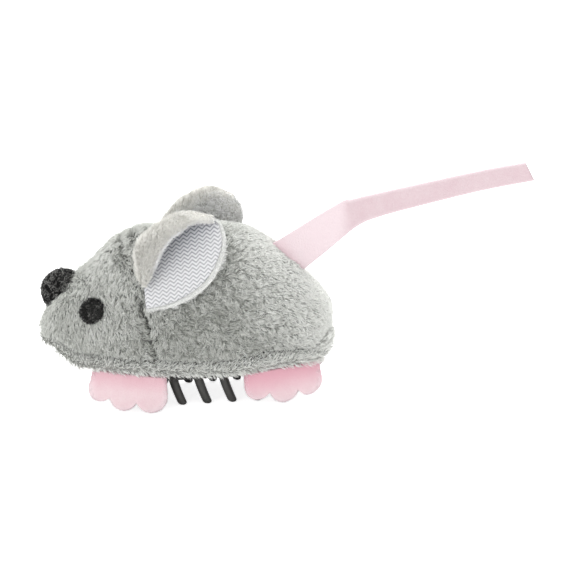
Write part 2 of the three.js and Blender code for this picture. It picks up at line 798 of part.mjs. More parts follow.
function makePaw(name, drawnTop, drawnToes) {
  const top = drawnTop.map((x) => x * lengthwise);
  const toes = drawnToes.map(([x, z, radius]) => [x * lengthwise, z, radius]);
  const middle = (top[0] + top[1]) / 2;
  const here = sectionAt(middle);
  const felt = pawSheet([top[0] - PAW_SPARE, top[1] + PAW_SPARE], here.under);
  const cut = felt.intersect(pawOutline(top, toes)).subtract(bodyForm(-PAW_GAP));
  const shown = largest(cut.subtract(crawlerRoom(GAP)));
  const hip = new THREE.Vector3(middle, -(here.half - PAW_TUCK), here.under);
  piece(`${name}_left`, shown, pinkFelt, hip);
  const mirrored = hip.clone().multiply(new THREE.Vector3(1, -1, 1));
  piece(`${name}_right`, shown.mirror([0, 1, 0]), pinkFelt, mirrored);
}

// The slanted underside of the crawler's front, as a cutting block.
function bowCut() {
  const start = crawlerFront + BOW_LENGTH;
  return sideCut(
    [
      [start, CRAWLER_BOTTOM],
      [start - REACH, CRAWLER_BOTTOM + BOW_SLOPE * REACH],
      [start - REACH, -REACH],
      [start, -REACH],
    ],
    -REACH,
    REACH,
  );
}

const wellHalf = CELL_THICKNESS / 2 + GAP;
const wellFront = cellX - CELL_RADIUS - GAP;
const wellRear = cellX + CELL_RADIUS + GAP;
const pegPlaces = [firstSole + legPitch / 2, lastSole - legPitch / 2];
const pegY = combY - PEG_INSET;
const weightFront = crawlerFront + WEIGHT_SET_BACK;
const weightRear = weightFront + WEIGHT_LENGTH * lengthwise;
const weightRadius = motorZ - tubFloor - GAP;
const motorFront = weightRear + WEIGHT_TO_MOTOR;
const motorRear = motorFront + MOTOR_LENGTH * lengthwise;
const screwX = wellFront - BOSS_TO_WELL - BOSS_RADIUS;
const screwBossTop = CRAWLER_BOTTOM + SCREW_LENGTH + 1;
const doorFront = screwX - DOOR_NOSE;
const doorRear = cellX + CELL_RADIUS + DOOR_END;
const doorHalf = CELL_THICKNESS / 2 + DOOR_LEDGE;
const switchX = SWITCH_X * lengthwise;
const knobX = switchX - SWITCH_TRAVEL / 2;
const boardFront = BOARD_FRONT * lengthwise;
const boardRear = cellX - BOARD_TO_CELL;
const boardHalf = CRAWLER_WIDTH / 2 - SHELL_WALL - GAP - LIP_WALL - BOARD_TO_LIP;

// The lower shell: a tub on a narrower keel, with the cell's well, the switch's slot, the
// motor's cradle and the seats of the door and the leg rows.
function makeChassis() {
  const keel = roundedPlate(
    crawlerFront + KEEL_SET_BACK,
    crawlerRear - GAP,
    keelHalf,
    KEEL_FRONT_CORNER,
    KEEL_REAR_CORNER,
    CRAWLER_BOTTOM,
    keelTop + 0.1,
  );
  let chassis = crawlerPlan(0, keelTop, crawlerSplit).add(keel).subtract(bowCut());
  const inside = crawlerPlan(-SHELL_WALL, tubFloor, crawlerSplit + 1);
  chassis = chassis.subtract(inside);
  const keelRoom = block(
    KEEL_ROOM_FRONT * lengthwise,
    doorFront - 1,
    -keelHalf + SHELL_WALL,
    keelHalf - SHELL_WALL,
    keelCeiling,
    tubFloor + 1,
  );
  chassis = chassis.subtract(keelRoom);
  const ribHalf = CRAWLER_WIDTH / 2 - SHELL_WALL - RIB_ROOM;
  for (const x of [motorFront + RIB_FROM_END, motorRear - RIB_FROM_END - RIB_THICKNESS]) {
    const rib = block(x, x + RIB_THICKNESS, -ribHalf, ribHalf, keelTop, motorZ - GAP);
    chassis = chassis.add(rib);
  }
  const boss = bar([screwX, 0, keelCeiling], [screwX, 0, screwBossTop], BOSS_RADIUS);
  chassis = chassis.add(boss);
  for (const x of [boardFront + POST_FROM_FRONT, boardRear - POST_FROM_REAR]) {
    for (const y of [POST_INSET - boardHalf, boardHalf - POST_INSET]) {
      const post = bar([x, y, tubFloor - 0.4], [x, y, boardZ - GAP], POST_RADIUS, 10);
      chassis = chassis.add(post);
    }
  }
  const bedFront = crawlerFront + KEEL_SET_BACK;
  const bedRear = motorRear + MOTOR_CAP + 2 * GAP;
  const bed = bar([bedFront, 0, motorZ], [bedRear, 0, motorZ], MOTOR_RADIUS + GAP, 24);
  const well = block(wellFront, wellRear, -wellHalf, wellHalf, -1, REACH);
  const doorSeat = block(
    doorFront - GAP,
    doorRear + GAP,
    -doorHalf - GAP,
    doorHalf + GAP,
    -1,
    CRAWLER_BOTTOM + DOOR_THICKNESS + GAP,
  );
  const screwHole = bar([screwX, 0, 0], [screwX, 0, screwBossTop - 0.5], SCREW_SHANK_RADIUS + GAP);
  const slot = block(
    knobX - KNOB_LENGTH / 2 - GAP,
    knobX + KNOB_LENGTH / 2 + SWITCH_TRAVEL + GAP,
    -KNOB_WIDTH / 2 - GAP,
    KNOB_WIDTH / 2 + GAP,
    0,
    tubFloor,
  );
  const switchRoom = block(
    switchX - SWITCH_LENGTH / 2 - GAP,
    switchX + SWITCH_LENGTH / 2 + GAP,
    -SWITCH_WIDTH / 2 - GAP,
    SWITCH_WIDTH / 2 + GAP,
    keelCeiling,
    switchTop + GAP,
  );
  for (const room of [bed, well, doorSeat, screwHole, slot, switchRoom]) {
    chassis = chassis.subtract(room);
  }
  for (const x of pegPlaces) {
    for (const y of [-pegY, pegY]) {
      const top = keelTop + PEG_HEIGHT + GAP;
      chassis = chassis.subtract(bar([x, y, 0], [x, y, top], PEG_RADIUS + GAP, 12));
    }
  }
  piece("chassis", chassis, greyPlastic);
}

// The upper shell, domed at its edge, with a lip that stands inside the lower one.
function makeTopShell() {
  const outside = crawlerPlan(0, crawlerSplit + GAP, crawlerTop, 2 * SHELL_WALL);
  const hollow = crawlerPlan(-SHELL_WALL, -REACH, crawlerTop - SHELL_WALL, 1.5 * SHELL_WALL);
  const lipOutside = crawlerPlan(-SHELL_WALL - GAP, crawlerSplit - LIP_DEPTH, crawlerSplit + 1);
  const lipInside = crawlerPlan(-SHELL_WALL - GAP - LIP_WALL, 0, REACH);
  const lip = lipOutside.subtract(lipInside);
  const bridge = crawlerPlan(-SHELL_WALL / 2, crawlerSplit + GAP, crawlerSplit + 1).subtract(
    lipInside,
  );
  const shell = outside.subtract(hollow).add(bridge).add(lip);
  piece("top_shell", shell, darkPlastic);
}

// A round column through points, each with its own radius. Every ring lies level.
function column(points, radii, sides) {
  const list = points.map((p, i) =>
    [...Array(sides).keys()].map((k) => {
      const angle = ((k + 0.5) * 2 * Math.PI) / sides;
      return new THREE.Vector3(
        p.x + radii[i] * Math.cos(angle),
        p.y + radii[i] * Math.sin(angle),
        p.z,
      );
    }),
  );
  return rings([[points[0]], ...list, [points[points.length - 1]]]);
}

// A row of six rubber legs on one bar. The legs lean back, which drives the toy forward.
function makeLegRows() {
  const hip = COMB_BOTTOM + 0.6;
  const steps = [1, 0.75, 0.5, 0.3, 0.12, 0.05, 0];
  const shrink = [0, 0, 0, 0, 0, 0.08, 0.24];
  let row = block(
    combFront,
    combRear,
    -combY - COMB_WIDTH / 2,
    -combY + COMB_WIDTH / 2,
    COMB_BOTTOM,
    keelTop - GAP,
  );
  for (let k = 0; k < LEGS_A_SIDE; k++) {
    const sole = firstSole + k * legPitch;
    const points = steps.map((up) => {
      const bow = LEG_BOW * Math.sin(Math.PI * up);
      return new THREE.Vector3(sole - LEG_LEAN * up - bow, -combY, hip * up);
    });
    const radii = steps.map(
      (up, i) => LEG_SOLE_RADIUS + (LEG_HIP_RADIUS - LEG_SOLE_RADIUS) * up - shrink[i],
    );
    row = row.add(column(points, radii, 8));
  }
  for (const x of pegPlaces) {
    const low = keelTop - GAP - 0.3;
    row = row.add(bar([x, -pegY, low], [x, -pegY, keelTop + PEG_HEIGHT], PEG_RADIUS, 10));
  }
  piece("leg_row_left", row, blackRubber);
  piece("leg_row_right", row.mirror([0, 1, 0]), blackRubber);
}

// The motor: a can, its rear cap, and the rotor's shaft with a weight on one side of it.
function makeMotor() {
  const bore = SHAFT_RADIUS + SHAFT_CLEARANCE;
  const can = bar([motorFront, 0, motorZ], [motorRear, 0, motorZ], MOTOR_RADIUS, 24);
  const collar = bar(
    [motorFront - MOTOR_COLLAR, 0, motorZ],
    [motorFront + 0.1, 0, motorZ],
    WEIGHT_HUB_RADIUS,
    16,
  );
  const flat = block(-REACH, REACH, -REACH, REACH, motorZ + 0.83 * MOTOR_RADIUS, REACH);
  const hole = bar([motorFront - 2, 0, motorZ], [motorRear - 0.8, 0, motorZ], bore, 16);
  piece("motor_can", can.add(collar).subtract(flat).subtract(hole), steel);
  const cap = bar(
    [motorRear + GAP, 0, motorZ],
    [motorRear + GAP + MOTOR_CAP, 0, motorZ],
    MOTOR_RADIUS - GAP,
    20,
  );
  piece("motor_cap", cap, darkPlastic);

  const pivot = new THREE.Vector3(weightFront, 0, motorZ);
  const tip = weightFront - SHAFT_RADIUS;
  const shaft = bar([tip, 0, motorZ], [motorRear - 1.2, 0, motorZ], SHAFT_RADIUS, 12);
  piece("motor_shaft", shaft, steel, pivot);
  const half = ((WEIGHT_SWEEP / 2) * Math.PI) / 180;
  const sector = new THREE.Shape();
  sector.moveTo(0, 0);
  sector.absarc(0, 0, weightRadius, -Math.PI / 2 - half, -Math.PI / 2 + half, false);
  const slice = new THREE.ExtrudeGeometry(sector, {
    depth: weightRear - weightFront,
    bevelEnabled: false,
    curveSegments: 14,
  });
  slice.rotateX(Math.PI / 2);
  slice.rotateZ(Math.PI / 2);
  slice.translate(weightFront, 0, motorZ);
  const hub = bar([weightFront, 0, motorZ], [weightRear, 0, motorZ], WEIGHT_HUB_RADIUS, 16);
  const boreRadius = SHAFT_RADIUS + WEIGHT_BORE_CLEARANCE;
  const weightBore = bar([-REACH, 0, motorZ], [0, 0, motorZ], boreRadius, 12);
  piece("eccentric_weight", solid(slice).add(hub).subtract(weightBore), heavyMetal, pivot);
}

// A circuit board over the motor with one capacitor, and the motor's two leads.
function makeBoard() {
  const top = boardZ + BOARD_THICKNESS;
  const board = roundedPlate(
    boardFront,
    boardRear,
    boardHalf,
    BOARD_FRONT_CORNER,
    BOARD_REAR_CORNER,
    boardZ,
    top,
  );
  piece("circuit_board", board, greenBoard);
  const capX = CAPACITOR_X * lengthwise;
  const capacitor = block(
    capX - CAPACITOR_LENGTH / 2,
    capX + CAPACITOR_LENGTH / 2,
    -CAPACITOR_WIDTH / 2,
    CAPACITOR_WIDTH / 2,
    top + 0.02,
    top + 0.02 + CAPACITOR_HEIGHT,
  );
  piece("capacitor", capacitor, ceramic);
  const start = motorRear + GAP + MOTOR_CAP;
  for (const [name, side, sleeve] of [
    ["motor_lead_red", -1, redSleeve],
    ["motor_lead_blue", 1, blueSleeve],
  ]) {
    const route = new THREE.CatmullRomCurve3([
      new THREE.Vector3(start + GAP, side * LEAD_START, motorZ),
      new THREE.Vector3(start + LEAD_REACH / 2, side * LEAD_START, motorZ),
      new THREE.Vector3(start + LEAD_REACH - 0.1, (side * (LEAD_START + LEAD_END)) / 2, motorZ + 0.9),
      new THREE.Vector3(start + LEAD_REACH, side * LEAD_END, motorZ + 2.2),
      new THREE.Vector3(start + LEAD_REACH, side * LEAD_END, boardZ - GAP),
    ]);
    const round = new THREE.Shape().absarc(0, 0, LEAD_RADIUS, 0, 2 * Math.PI, false);
    const lead = new THREE.ExtrudeGeometry(round, {
      extrudePath: route,
      steps: 12,
      curveSegments: 4,
    });
    piece(name, solid(lead), sleeve);
  }
}

// The button cell stands on edge between two sprung strips, over its door.
function makePower() {
  const halfCell = CELL_THICKNESS / 2;
  const pivot = new THREE.Vector3(cellX, 0, cellZ);
  const can = bar([cellX, -halfCell + 0.5, cellZ], [cellX, halfCell, cellZ], CELL_RADIUS, 32);
  const cap = bar([cellX, -halfCell, cellZ], [cellX, 0, cellZ], CELL_RADIUS - CELL_RIM, 32);
  piece("button_cell", can.add(cap), steel, pivot);
  const low = tubFloor + GAP;
  const outline = [
    [cellX - CONTACT_FRONT, low],
    [cellX - CONTACT_REAR, low],
    [cellX - CONTACT_REAR, boardZ - 1],
    [cellX - CONTACT_FRONT + 0.4, stripTop],
    [boardRear - CONTACT_LAP, stripTop],
    [boardRear - CONTACT_LAP, stripBottom],
    [cellX - CONTACT_FRONT, stripBottom],
  ];
  const near = halfCell + GAP;
  const far = near + CONTACT_THICKNESS;
  piece("contact_negative", sideCut(outline, -far, -near), brass);
  piece("contact_positive", sideCut(outline, near, far), brass);
}

// The door over the cell, and the captive screw that holds it.
function makeDoor() {
  const top = CRAWLER_BOTTOM + DOOR_THICKNESS;
  const middle = new THREE.Vector3((doorFront + doorRear) / 2, 0, CRAWLER_BOTTOM);
  let door = block(doorFront, doorRear, -doorHalf, doorHalf, CRAWLER_BOTTOM, top);
  const headSeat = CRAWLER_BOTTOM + SCREW_HEAD_HEIGHT + GAP;
  const headRoom = bar([screwX, 0, 0], [screwX, 0, headSeat], SCREW_HEAD_RADIUS + GAP, 20);
  const hole = bar([screwX, 0, 0], [screwX, 0, REACH], SCREW_SHANK_RADIUS + GAP, 16);
  door = door.subtract(headRoom).subtract(hole);
  for (let k = 0; k < GRIPS; k++) {
    const rear = doorRear - 1.5 * GRIP_PITCH - k * GRIP_PITCH;
    const groove = block(
      rear - GRIP_WIDTH,
      rear,
      -GRIP_LENGTH / 2,
      GRIP_LENGTH / 2,
      0,
      CRAWLER_BOTTOM + GRIP_DEPTH,
    );
    door = door.subtract(groove);
  }
  piece("cell_door", door, darkPlastic, middle);

  const low = CRAWLER_BOTTOM + SCREW_SINK;
  const pivot = new THREE.Vector3(screwX, 0, low);
  const head = bar([screwX, 0, low], [screwX, 0, low + SCREW_HEAD_HEIGHT], SCREW_HEAD_RADIUS, 20);
  const shank = bar([screwX, 0, low + 0.1], [screwX, 0, low + SCREW_LENGTH], SCREW_SHANK_RADIUS, 14);
  let screw = head.add(shank);
  for (const [a, b] of [
    [SCREW_CROSS / 2, SCREW_SLOT / 2],
    [SCREW_SLOT / 2, SCREW_CROSS / 2],
  ]) {
    screw = screw.subtract(block(screwX - a, screwX + a, -b, b, 0, low + SCREW_SLOT));
  }
  piece("door_screw", screw, steel, pivot);
}

// The slide switch: a body open below, and a slider whose knob looks out of the keel.
function makeSwitch() {
  const [front, rear] = [switchX - SWITCH_LENGTH / 2, switchX + SWITCH_LENGTH / 2];
  const half = SWITCH_WIDTH / 2;
  const inner = half - SWITCH_WALL;
  const ceiling = switchTop - SWITCH_WALL;
  const room = block(front + SWITCH_WALL, rear - SWITCH_WALL, -inner, inner, 0, ceiling);
  const shell = block(front, rear, -half, half, switchFloor, switchTop);
  piece("switch_body", shell.subtract(room), steel);
  const bottom = CRAWLER_BOTTOM - KNOB_PROUD;
  const pivot = new THREE.Vector3(knobX, 0, bottom);
  const plateBottom = switchFloor + 0.4;
  const sliderHalf = (SWITCH_LENGTH - SWITCH_TRAVEL) / 2 - SWITCH_WALL - SLIDER_TO_END;
  let slider = block(
    knobX - sliderHalf,
    knobX + sliderHalf,
    -inner + GAP,
    inner - GAP,
    plateBottom,
    ceiling - GAP,
  );
  const knob = block(
    knobX - KNOB_LENGTH / 2,
    knobX + KNOB_LENGTH / 2,
    -KNOB_WIDTH / 2,
    KNOB_WIDTH / 2,
    bottom,
    plateBottom + 0.2,
  );
  slider = slider.add(knob);
  for (const x of [knobX - KNOB_LENGTH / 4, knobX + KNOB_LENGTH / 4]) {
    const [from, to] = [x - KNOB_GROOVE / 2, x + KNOB_GROOVE / 2];
    slider = slider.subtract(block(from, to, -half, half, 0, bottom + KNOB_GROOVE));
  }
  piece("switch_slider", slider, blackRubber, pivot);
}

makeCover();
makeStuffing();
makeEars();
makeNoseAndEyes();
makeTail();
makePaw("paw_front", FRONT_PAW_TOP, FRONT_PAW_TOES);
makePaw("paw_rear", REAR_PAW_TOP, REAR_PAW_TOES);
makeChassis();
makeTopShell();
makeLegRows();
makeMotor();
makeBoard();
makePower();
makeDoor();
makeSwitch();

// The frame's origin is on the floor, under the middle of the toy with its tail.
const box = new THREE.Box3().setFromObject(mouse);
mouse.position.set(-(box.min.x + box.max.x) / 2, -(box.min.y + box.max.y) / 2, -box.min.z);

export default mouse;
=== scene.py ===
import math

import bpy
import numpy as np
from mathutils import Matrix, Vector


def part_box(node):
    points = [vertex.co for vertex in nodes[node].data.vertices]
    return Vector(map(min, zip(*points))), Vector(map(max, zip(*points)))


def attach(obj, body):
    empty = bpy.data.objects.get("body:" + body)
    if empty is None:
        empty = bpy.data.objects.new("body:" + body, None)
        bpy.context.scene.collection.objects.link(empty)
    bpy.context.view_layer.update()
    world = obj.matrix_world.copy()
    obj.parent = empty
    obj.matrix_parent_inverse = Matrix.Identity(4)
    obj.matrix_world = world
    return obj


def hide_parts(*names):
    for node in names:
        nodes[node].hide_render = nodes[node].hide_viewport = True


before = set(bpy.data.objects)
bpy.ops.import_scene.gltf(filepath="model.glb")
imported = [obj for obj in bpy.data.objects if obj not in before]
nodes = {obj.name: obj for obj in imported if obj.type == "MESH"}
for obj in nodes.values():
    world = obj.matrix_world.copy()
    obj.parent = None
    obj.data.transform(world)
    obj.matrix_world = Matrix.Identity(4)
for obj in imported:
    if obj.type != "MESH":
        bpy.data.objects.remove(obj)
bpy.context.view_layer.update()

# Camera. The toy is seen from its left side and a little from above, through a long lens, by a
# camera that is turned a few degrees about its own axis.

AZIMUTH = math.radians(6)
ELEVATION = math.radians(15)
ROLL = math.radians(5.06)
DISTANCE = 0.420
LENS_PX = 2268
IMAGE_PX = 576
SENSOR_MM = 36
TARGET = np.array([-0.0185, 0, 0.015])
TARGET_PX = (188, 315.5)


def unit(vectors):
    """Vectors brought to a length of one."""
    return vectors / np.maximum(np.linalg.norm(vectors, axis=-1, keepdims=True), 1e-9)


def placed(name, data):
    """A new object in the scene."""
    made = bpy.data.objects.new(name, data)
    bpy.context.scene.collection.objects.link(made)
    return made


def make_camera():
    """Looks at the target from the distance, and is then turned until the target is at its pixel."""
    flat = math.cos(ELEVATION)
    back = np.array([math.sin(AZIMUTH) * flat, -math.cos(AZIMUTH) * flat, math.sin(ELEVATION)])
    level = np.array([math.cos(AZIMUTH), math.sin(AZIMUTH), 0])
    above = np.cross(back, level)
    right = level * math.cos(ROLL) - above * math.sin(ROLL)
    up = level * math.sin(ROLL) + above * math.cos(ROLL)
    axis = -back
    axis = axis + right * (IMAGE_PX / 2 - TARGET_PX[0]) / LENS_PX
    axis = unit(axis + up * (TARGET_PX[1] - IMAGE_PX / 2) / LENS_PX)
    right = unit(right - axis * np.dot(right, axis))
    matrix = np.identity(4)
    matrix[:3, 0] = right
    matrix[:3, 1] = np.cross(right, axis)
    matrix[:3, 2] = -axis
    matrix[:3, 3] = TARGET + DISTANCE * back
    camera = placed("camera", bpy.data.cameras.new("camera"))
    camera.data.sensor_width = SENSOR_MM
    camera.data.lens = SENSOR_MM * LENS_PX / IMAGE_PX
    camera.data.clip_start = 0.01
    camera.matrix_world = Matrix(matrix)
    bpy.context.scene.camera = camera


make_camera()


# Floor and light. A plain white table in a white room, and two large soft lamps. The camera
# sees the table and the room as white, and the toy's shadow stays on the table.

FLOOR_HALF = 3
ROOM_LIGHT = 1.06
FLOOR_LIFT = 0.8


def feed(made, inputs):
    """Gives inputs of a node, by name or number, a plain value or another node's output."""
    for key, given in dict(inputs).items():
        if isinstance(given, bpy.types.NodeSocket):
            made.id_data.links.new(given, made.inputs[key])
        else:
            made.inputs[key].default_value = given


def node(tree, kind, inputs=(), **settings):
    """A new node with its settings and its inputs."""
    made = tree.nodes.new("ShaderNode" + kind)
    for name, value in settings.items():
        setattr(made, name, value)
    feed(made, inputs)
    return made


def reckon(tree, operation, *given):
    """The result of one step of arithmetic in a node tree."""
    return node(tree, "Math", dict(enumerate(given)), operation=operation).outputs[0]


def ramp(tree, value, low=0.0, high=1.0, start=0.0, end=1.0):
    """A value that runs from low to high, made to run from start to end, and held there."""
    inputs = {"Value": value, "From Min": low, "From Max": high, "To Min": start, "To Max": end}
    return node(tree, "MapRange", inputs).outputs["Result"]


def new_material(name, inputs=()):
    """A material, with its node tree and its Principled shader."""
    material = bpy.data.materials.new(name)
    material.use_nodes = True
    shader = material.node_tree.nodes["Principled BSDF"]
    feed(shader, inputs)
    return material, material.node_tree, shader


def make_room():
    """White where the camera sees the room or sees it mirrored, and at ROOM_LIGHT's strength as a
    light.
    """
    world = bpy.data.worlds.new("room")
    bpy.context.scene.world = world
    world.use_nodes = True
    tree = world.node_tree
    path = node(tree, "LightPath").outputs
    seen = reckon(tree, "MAXIMUM", path["Is Camera Ray"], path["Is Glossy Ray"])
    seen = reckon(tree, "MAXIMUM", seen, path["Is Transmission Ray"])
    strength = ramp(tree, seen, start=ROOM_LIGHT)
    feed(tree.nodes["Background"], {"Color": (1, 1, 1, 1), "Strength": strength})


def make_floor():
    """A large square, whose own light, seen by the camera alone, lifts it to white. It is clear
    from below, so that the underside can be looked at."""
    h = FLOOR_HALF
    mesh = bpy.data.meshes.new("floor")
    mesh.from_pydata([(-h, -h, 0), (h, -h, 0), (h, h, 0), (-h, h, 0)], [], [(0, 1, 2, 3)])
    material, tree, shader = new_material("white_table", {"Roughness": 1, "Specular IOR Level": 0})
    seen = node(tree, "LightPath").outputs["Is Camera Ray"]
    lift = reckon(tree, "MULTIPLY", seen, FLOOR_LIFT)
    feed(shader, {"Base Color": (0.86, 0.86, 0.86, 1), "Emission Color": (1, 1, 1, 1)})
    feed(shader, {"Emission Strength": lift})
    below = node(tree, "NewGeometry").outputs["Backfacing"]
    clear = node(tree, "BsdfTransparent").outputs["BSDF"]
    either = node(tree, "MixShader", {0: below, 1: shader.outputs["BSDF"], 2: clear})
    feed(tree.nodes["Material Output"], {"Surface": either.outputs["Shader"]})
    mesh.materials.append(material)
    floor = placed("floor", mesh)


def make_lamp(name, place, size, power):
    """A square soft lamp that points at the toy."""
    lamp = placed(name, bpy.data.lights.new(name, "AREA"))
    lamp.data.energy = power
    lamp.data.size = size
    lamp.location = place
    lamp.rotation_euler = (-Vector(place)).to_track_quat("-Z", "Y").to_euler()


make_room()
make_floor()
make_lamp("lamp_behind", (0.3, 0.5, 0.9), 0.7, 8)
make_lamp("lamp_left", (-0.6, -0.9, 0.35), 0.7, 2.6)
bpy.context.scene.view_settings.view_transform = "Standard"


# The cover's cloth. Five panels of knitted plush, a face and a back on each side and a belly
# panel with an opening for the crawler, are sewn into a bag and filled. The drawing is in
# millimetres from the middle of the crawler.

BODY_MIDDLE = 27.9
BODY_SIZE = np.array([55.1, 25.2, 27.45])
BODY_CENTRE = np.array([-0.35, 0, 19.175])
WIDEST_SHARE = 0.27
ROUND_POWER = 0.95
SQUARE_POWER = 0.45
FACE_SEAM_X = -7.4
FACE_SEAM_SLOPE = 0.206
HEM_RISE = 3.0
HEM_START = (-27, -22)
HEM_WIDTH = 8
CLOTH_INSET = 1.05
CLOTH_THICKNESS = 0.35
SEAM_DIP = 0.5
HEM_DIP = 1.6
EAR_PULL = 1.9
EAR_PULL_Z = 16.5
HEM_ROLL = 1.1
# How far the painted shade of a crease reaches, in millimetres.
CREASE_SHADE_REACH = 0.8
# Fuller places: along, up, reach and height.
SWELLS = (
    (-9.5, 30, 5, 1.0),
    (13.5, 30, 6, 1.4),
    (25, 16.3, 4, 1.5),
    (27, 9.5, 3, -0.5),
    (-26.5, 14, 3, -0.15),
)
FRAME_SHIFT = np.array([1000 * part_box("belly_panel")[0].x + BODY_MIDDLE, 0, 0])
# Sections from the snout back: how far, half the width, the underside and the ridge.
STATIONS = np.array(
    [[0, 0, 13.6, 13.6], [0.4, 3, 12, 16.2], [2.4, 5.3, 11.4, 19.4]]
    + [[4.4, 6.7, 9.9, 21.8], [7.4, 8.3, 7.8, 24.3], [11.2, 9.9, 7.1, 26.9]]
    + [[15.7, 11.3, 6.6, 30.2], [19.4, 12, 6.2, 32], [25, 12.5, 5.7, 32.9]]
    + [[31, 12.6, 5.45, 32.7], [38, 12.4, 5.45, 31.2], [42.4, 11.6, 5.6, 29]]
    + [[45, 10.9, 5.9, 27.2], [49.4, 9.4, 6.2, 23.4], [52, 7.6, 6.2, 19.6]]
    + [[53.8, 5.6, 7, 15.5], [54.8, 3, 8.2, 12.4], [55.1, 0, 10.2, 10.2]]
)
OPENING = {"front": -19.8, "rear": 20.8, "half": 7.9, "front_corner": 6.8, "rear_corner": 4.8}
SIDES = ((-1, "left"), (1, "right"))
PANEL_GRID = {"face": (60, 70), "back": (90, 70), "belly": (220, 26)}
PANEL_LENGTH = {"face": 19, "back": 35}


def curve(points, t):
    """A smooth curve through all points, by the Catmull-Rom formula. It runs from t = 0 to 1."""
    last = len(points) - 1
    place = np.clip(np.asarray(t, float), 0, 1) * last
    i = np.minimum(place.astype(int), last - 1)
    w = (place - i)[..., None]
    ends = np.vstack([2 * points[0] - points[1], points, 2 * points[-1] - points[-2]])
    a, b, c, d = ends[i], ends[i + 1], ends[i + 2], ends[i + 3]
    square = w**2 * (2 * a - 5 * b + 4 * c - d) / 2
    return b + w * (c - a) / 2 + square + w**3 * (3 * b - 3 * c + d - a) / 2


def step(value, low, high):
    """A smooth rise from 0 at low to 1 at high."""
    share = np.clip((value - low) / (high - low), 0, 1)
    return share * share * (3 - 2 * share)


def hill(*far):
    """A bell curve over one distance or several, each as a share of its reach."""
    return np.exp(-sum(part**2 for part in far))


def shares(rows, columns):
    """The shares from 0 to 1 along the rows and along the columns of a grid."""
    return np.meshgrid(np.linspace(0, 1, rows), np.linspace(0, 1, columns), indexing="ij")


def cover(t, rise, side, inset=0.0):
    """The filled body. Each section is an ellipse above its widest line and a squarer curve
    below it. Rise runs from -90 degrees at the keel to 90 at the ridge."""
    along, half, under, ridge = np.moveaxis(curve(STATIONS, t), -1, 0)
    level = under + WIDEST_SHARE * (ridge - under)
    across = np.clip(np.cos(rise), 0, 1)
    up = np.sin(rise)
    high = up >= 0
    y = half * np.where(high, across, across**SQUARE_POWER)
    above = level + (ridge - level) * np.abs(up) ** ROUND_POWER
    below = level - (level - under) * np.abs(up) ** SQUARE_POWER
    z = np.where(high, above, below)
    points = np.stack(np.broadcast_arrays(along - BODY_MIDDLE, side * y, z), -1)
    shrink = 1 - 2 * np.asarray(inset)[..., None] / BODY_SIZE
    return BODY_CENTRE + (points - BODY_CENTRE) * shrink


def hem_rise(t):
    """The rise at which the side panels end, a little above the underside."""
    _, _, under, ridge = np.moveaxis(curve(STATIONS, t), -1, 0)
    wanted = HEM_RISE * (0.25 + 0.75 * step(t, 0, 0.35)) * (1 - 0.4 * step(t, 0.65, 0.95))
    below = np.maximum(WIDEST_SHARE * (ridge - under), 1e-6)
    above = np.maximum((1 - WIDEST_SHARE) * (ridge - under), 1e-6)
    low = -np.arcsin(np.clip(1 - wanted / below, 0, 1) ** (1 / SQUARE_POWER))
    high = np.arcsin(np.clip((wanted - below) / above, 0, 1) ** (1 / ROUND_POWER))
    return np.where(below > wanted, low, high)


def behind_seam(x, z):
    """How far a point lies behind the face seam, which leans forward towards the top."""
    return x - FACE_SEAM_X + FACE_SEAM_SLOPE * (z - 20)


def seam_place(rise, side):
    """Where the face seam crosses the line of that rise, found by halving."""
    low = np.zeros_like(rise)
    high = np.ones_like(rise)
    for _ in range(30):
        middle = (low + high) / 2
        x, _, z = np.moveaxis(cover(middle, rise, side), -1, 0)
        before = behind_seam(x, z) < 0
        low = np.where(before, middle, low)
        high = np.where(before, high, middle)
    return low


def opening_half(x):
    """Half the width of the belly's opening, a plate with two sizes of round corner."""
    half = OPENING["half"]
    for end, inside in (("front", x - OPENING["front"]), ("rear", OPENING["rear"] - x)):
        corner = OPENING[end + "_corner"]
        share = np.clip(inside / corner, 0, 1)
        half = half - corner * (1 - np.sqrt(1 - (1 - share) ** 2))
    return np.where((x < OPENING["front"]) | (x > OPENING["rear"]), 0, half)


def cloth_inset(t, rise, side, seams):
    """Depth of the cloth under the tips of the pile: soft lumps of the filling, and a dip at
    each seam, whose distance and depth are given in millimetres."""
    lumps = 0.2 * np.sin(23 * t + 2.1 * rise + side) * np.cos(2.7 * rise - 9 * t)
    return CLOTH_INSET + lumps + sum(deep * hill(far / 0.7) for far, deep in seams)


def side_panel(side, part):
    """A face or back panel, and how near each point is to the hem or the face seam, for the
    painted shade in their creases. Rows run along the body, and columns from the hem to the ridge."""
    a, b = shares(*PANEL_GRID[part])
    t = a
    for _ in range(6):
        rise = hem_rise(t) + (math.pi / 2 - hem_rise(t)) * b
        seam = seam_place(rise, side)
        t = a * seam if part == "face" else seam + (1 - seam) * a
    height = curve(STATIONS, t)[..., 3] - curve(STATIONS, t)[..., 2]
    cross = PANEL_LENGTH[part] * (1 - a if part == "face" else a)
    x, y, z = np.moveaxis(cover(t, rise, side), -1, 0)
    pulled = SEAM_DIP + EAR_PULL * hill((z - EAR_PULL_Z) / 2.6)
    deep = HEM_DIP * step(x, *HEM_START) * (1 - 0.8 * step(x, 18, 25))
    seams = ((b * height, deep), ((1 - b) * height, 0.2), (cross, pulled))
    inset = cloth_inset(t, rise, side, seams)
    for centre_x, centre_z, reach, more in SWELLS:
        inset = inset - more * hill((x - centre_x) / reach, (z - centre_z) / reach)
    # Nearness to the hem and the face seam, for the painted shade in their creases.
    near = np.maximum(hill(b * height / CREASE_SHADE_REACH) * step(x, *HEM_START), hill(cross / CREASE_SHADE_REACH))
    return cover(t, rise, side, inset), near


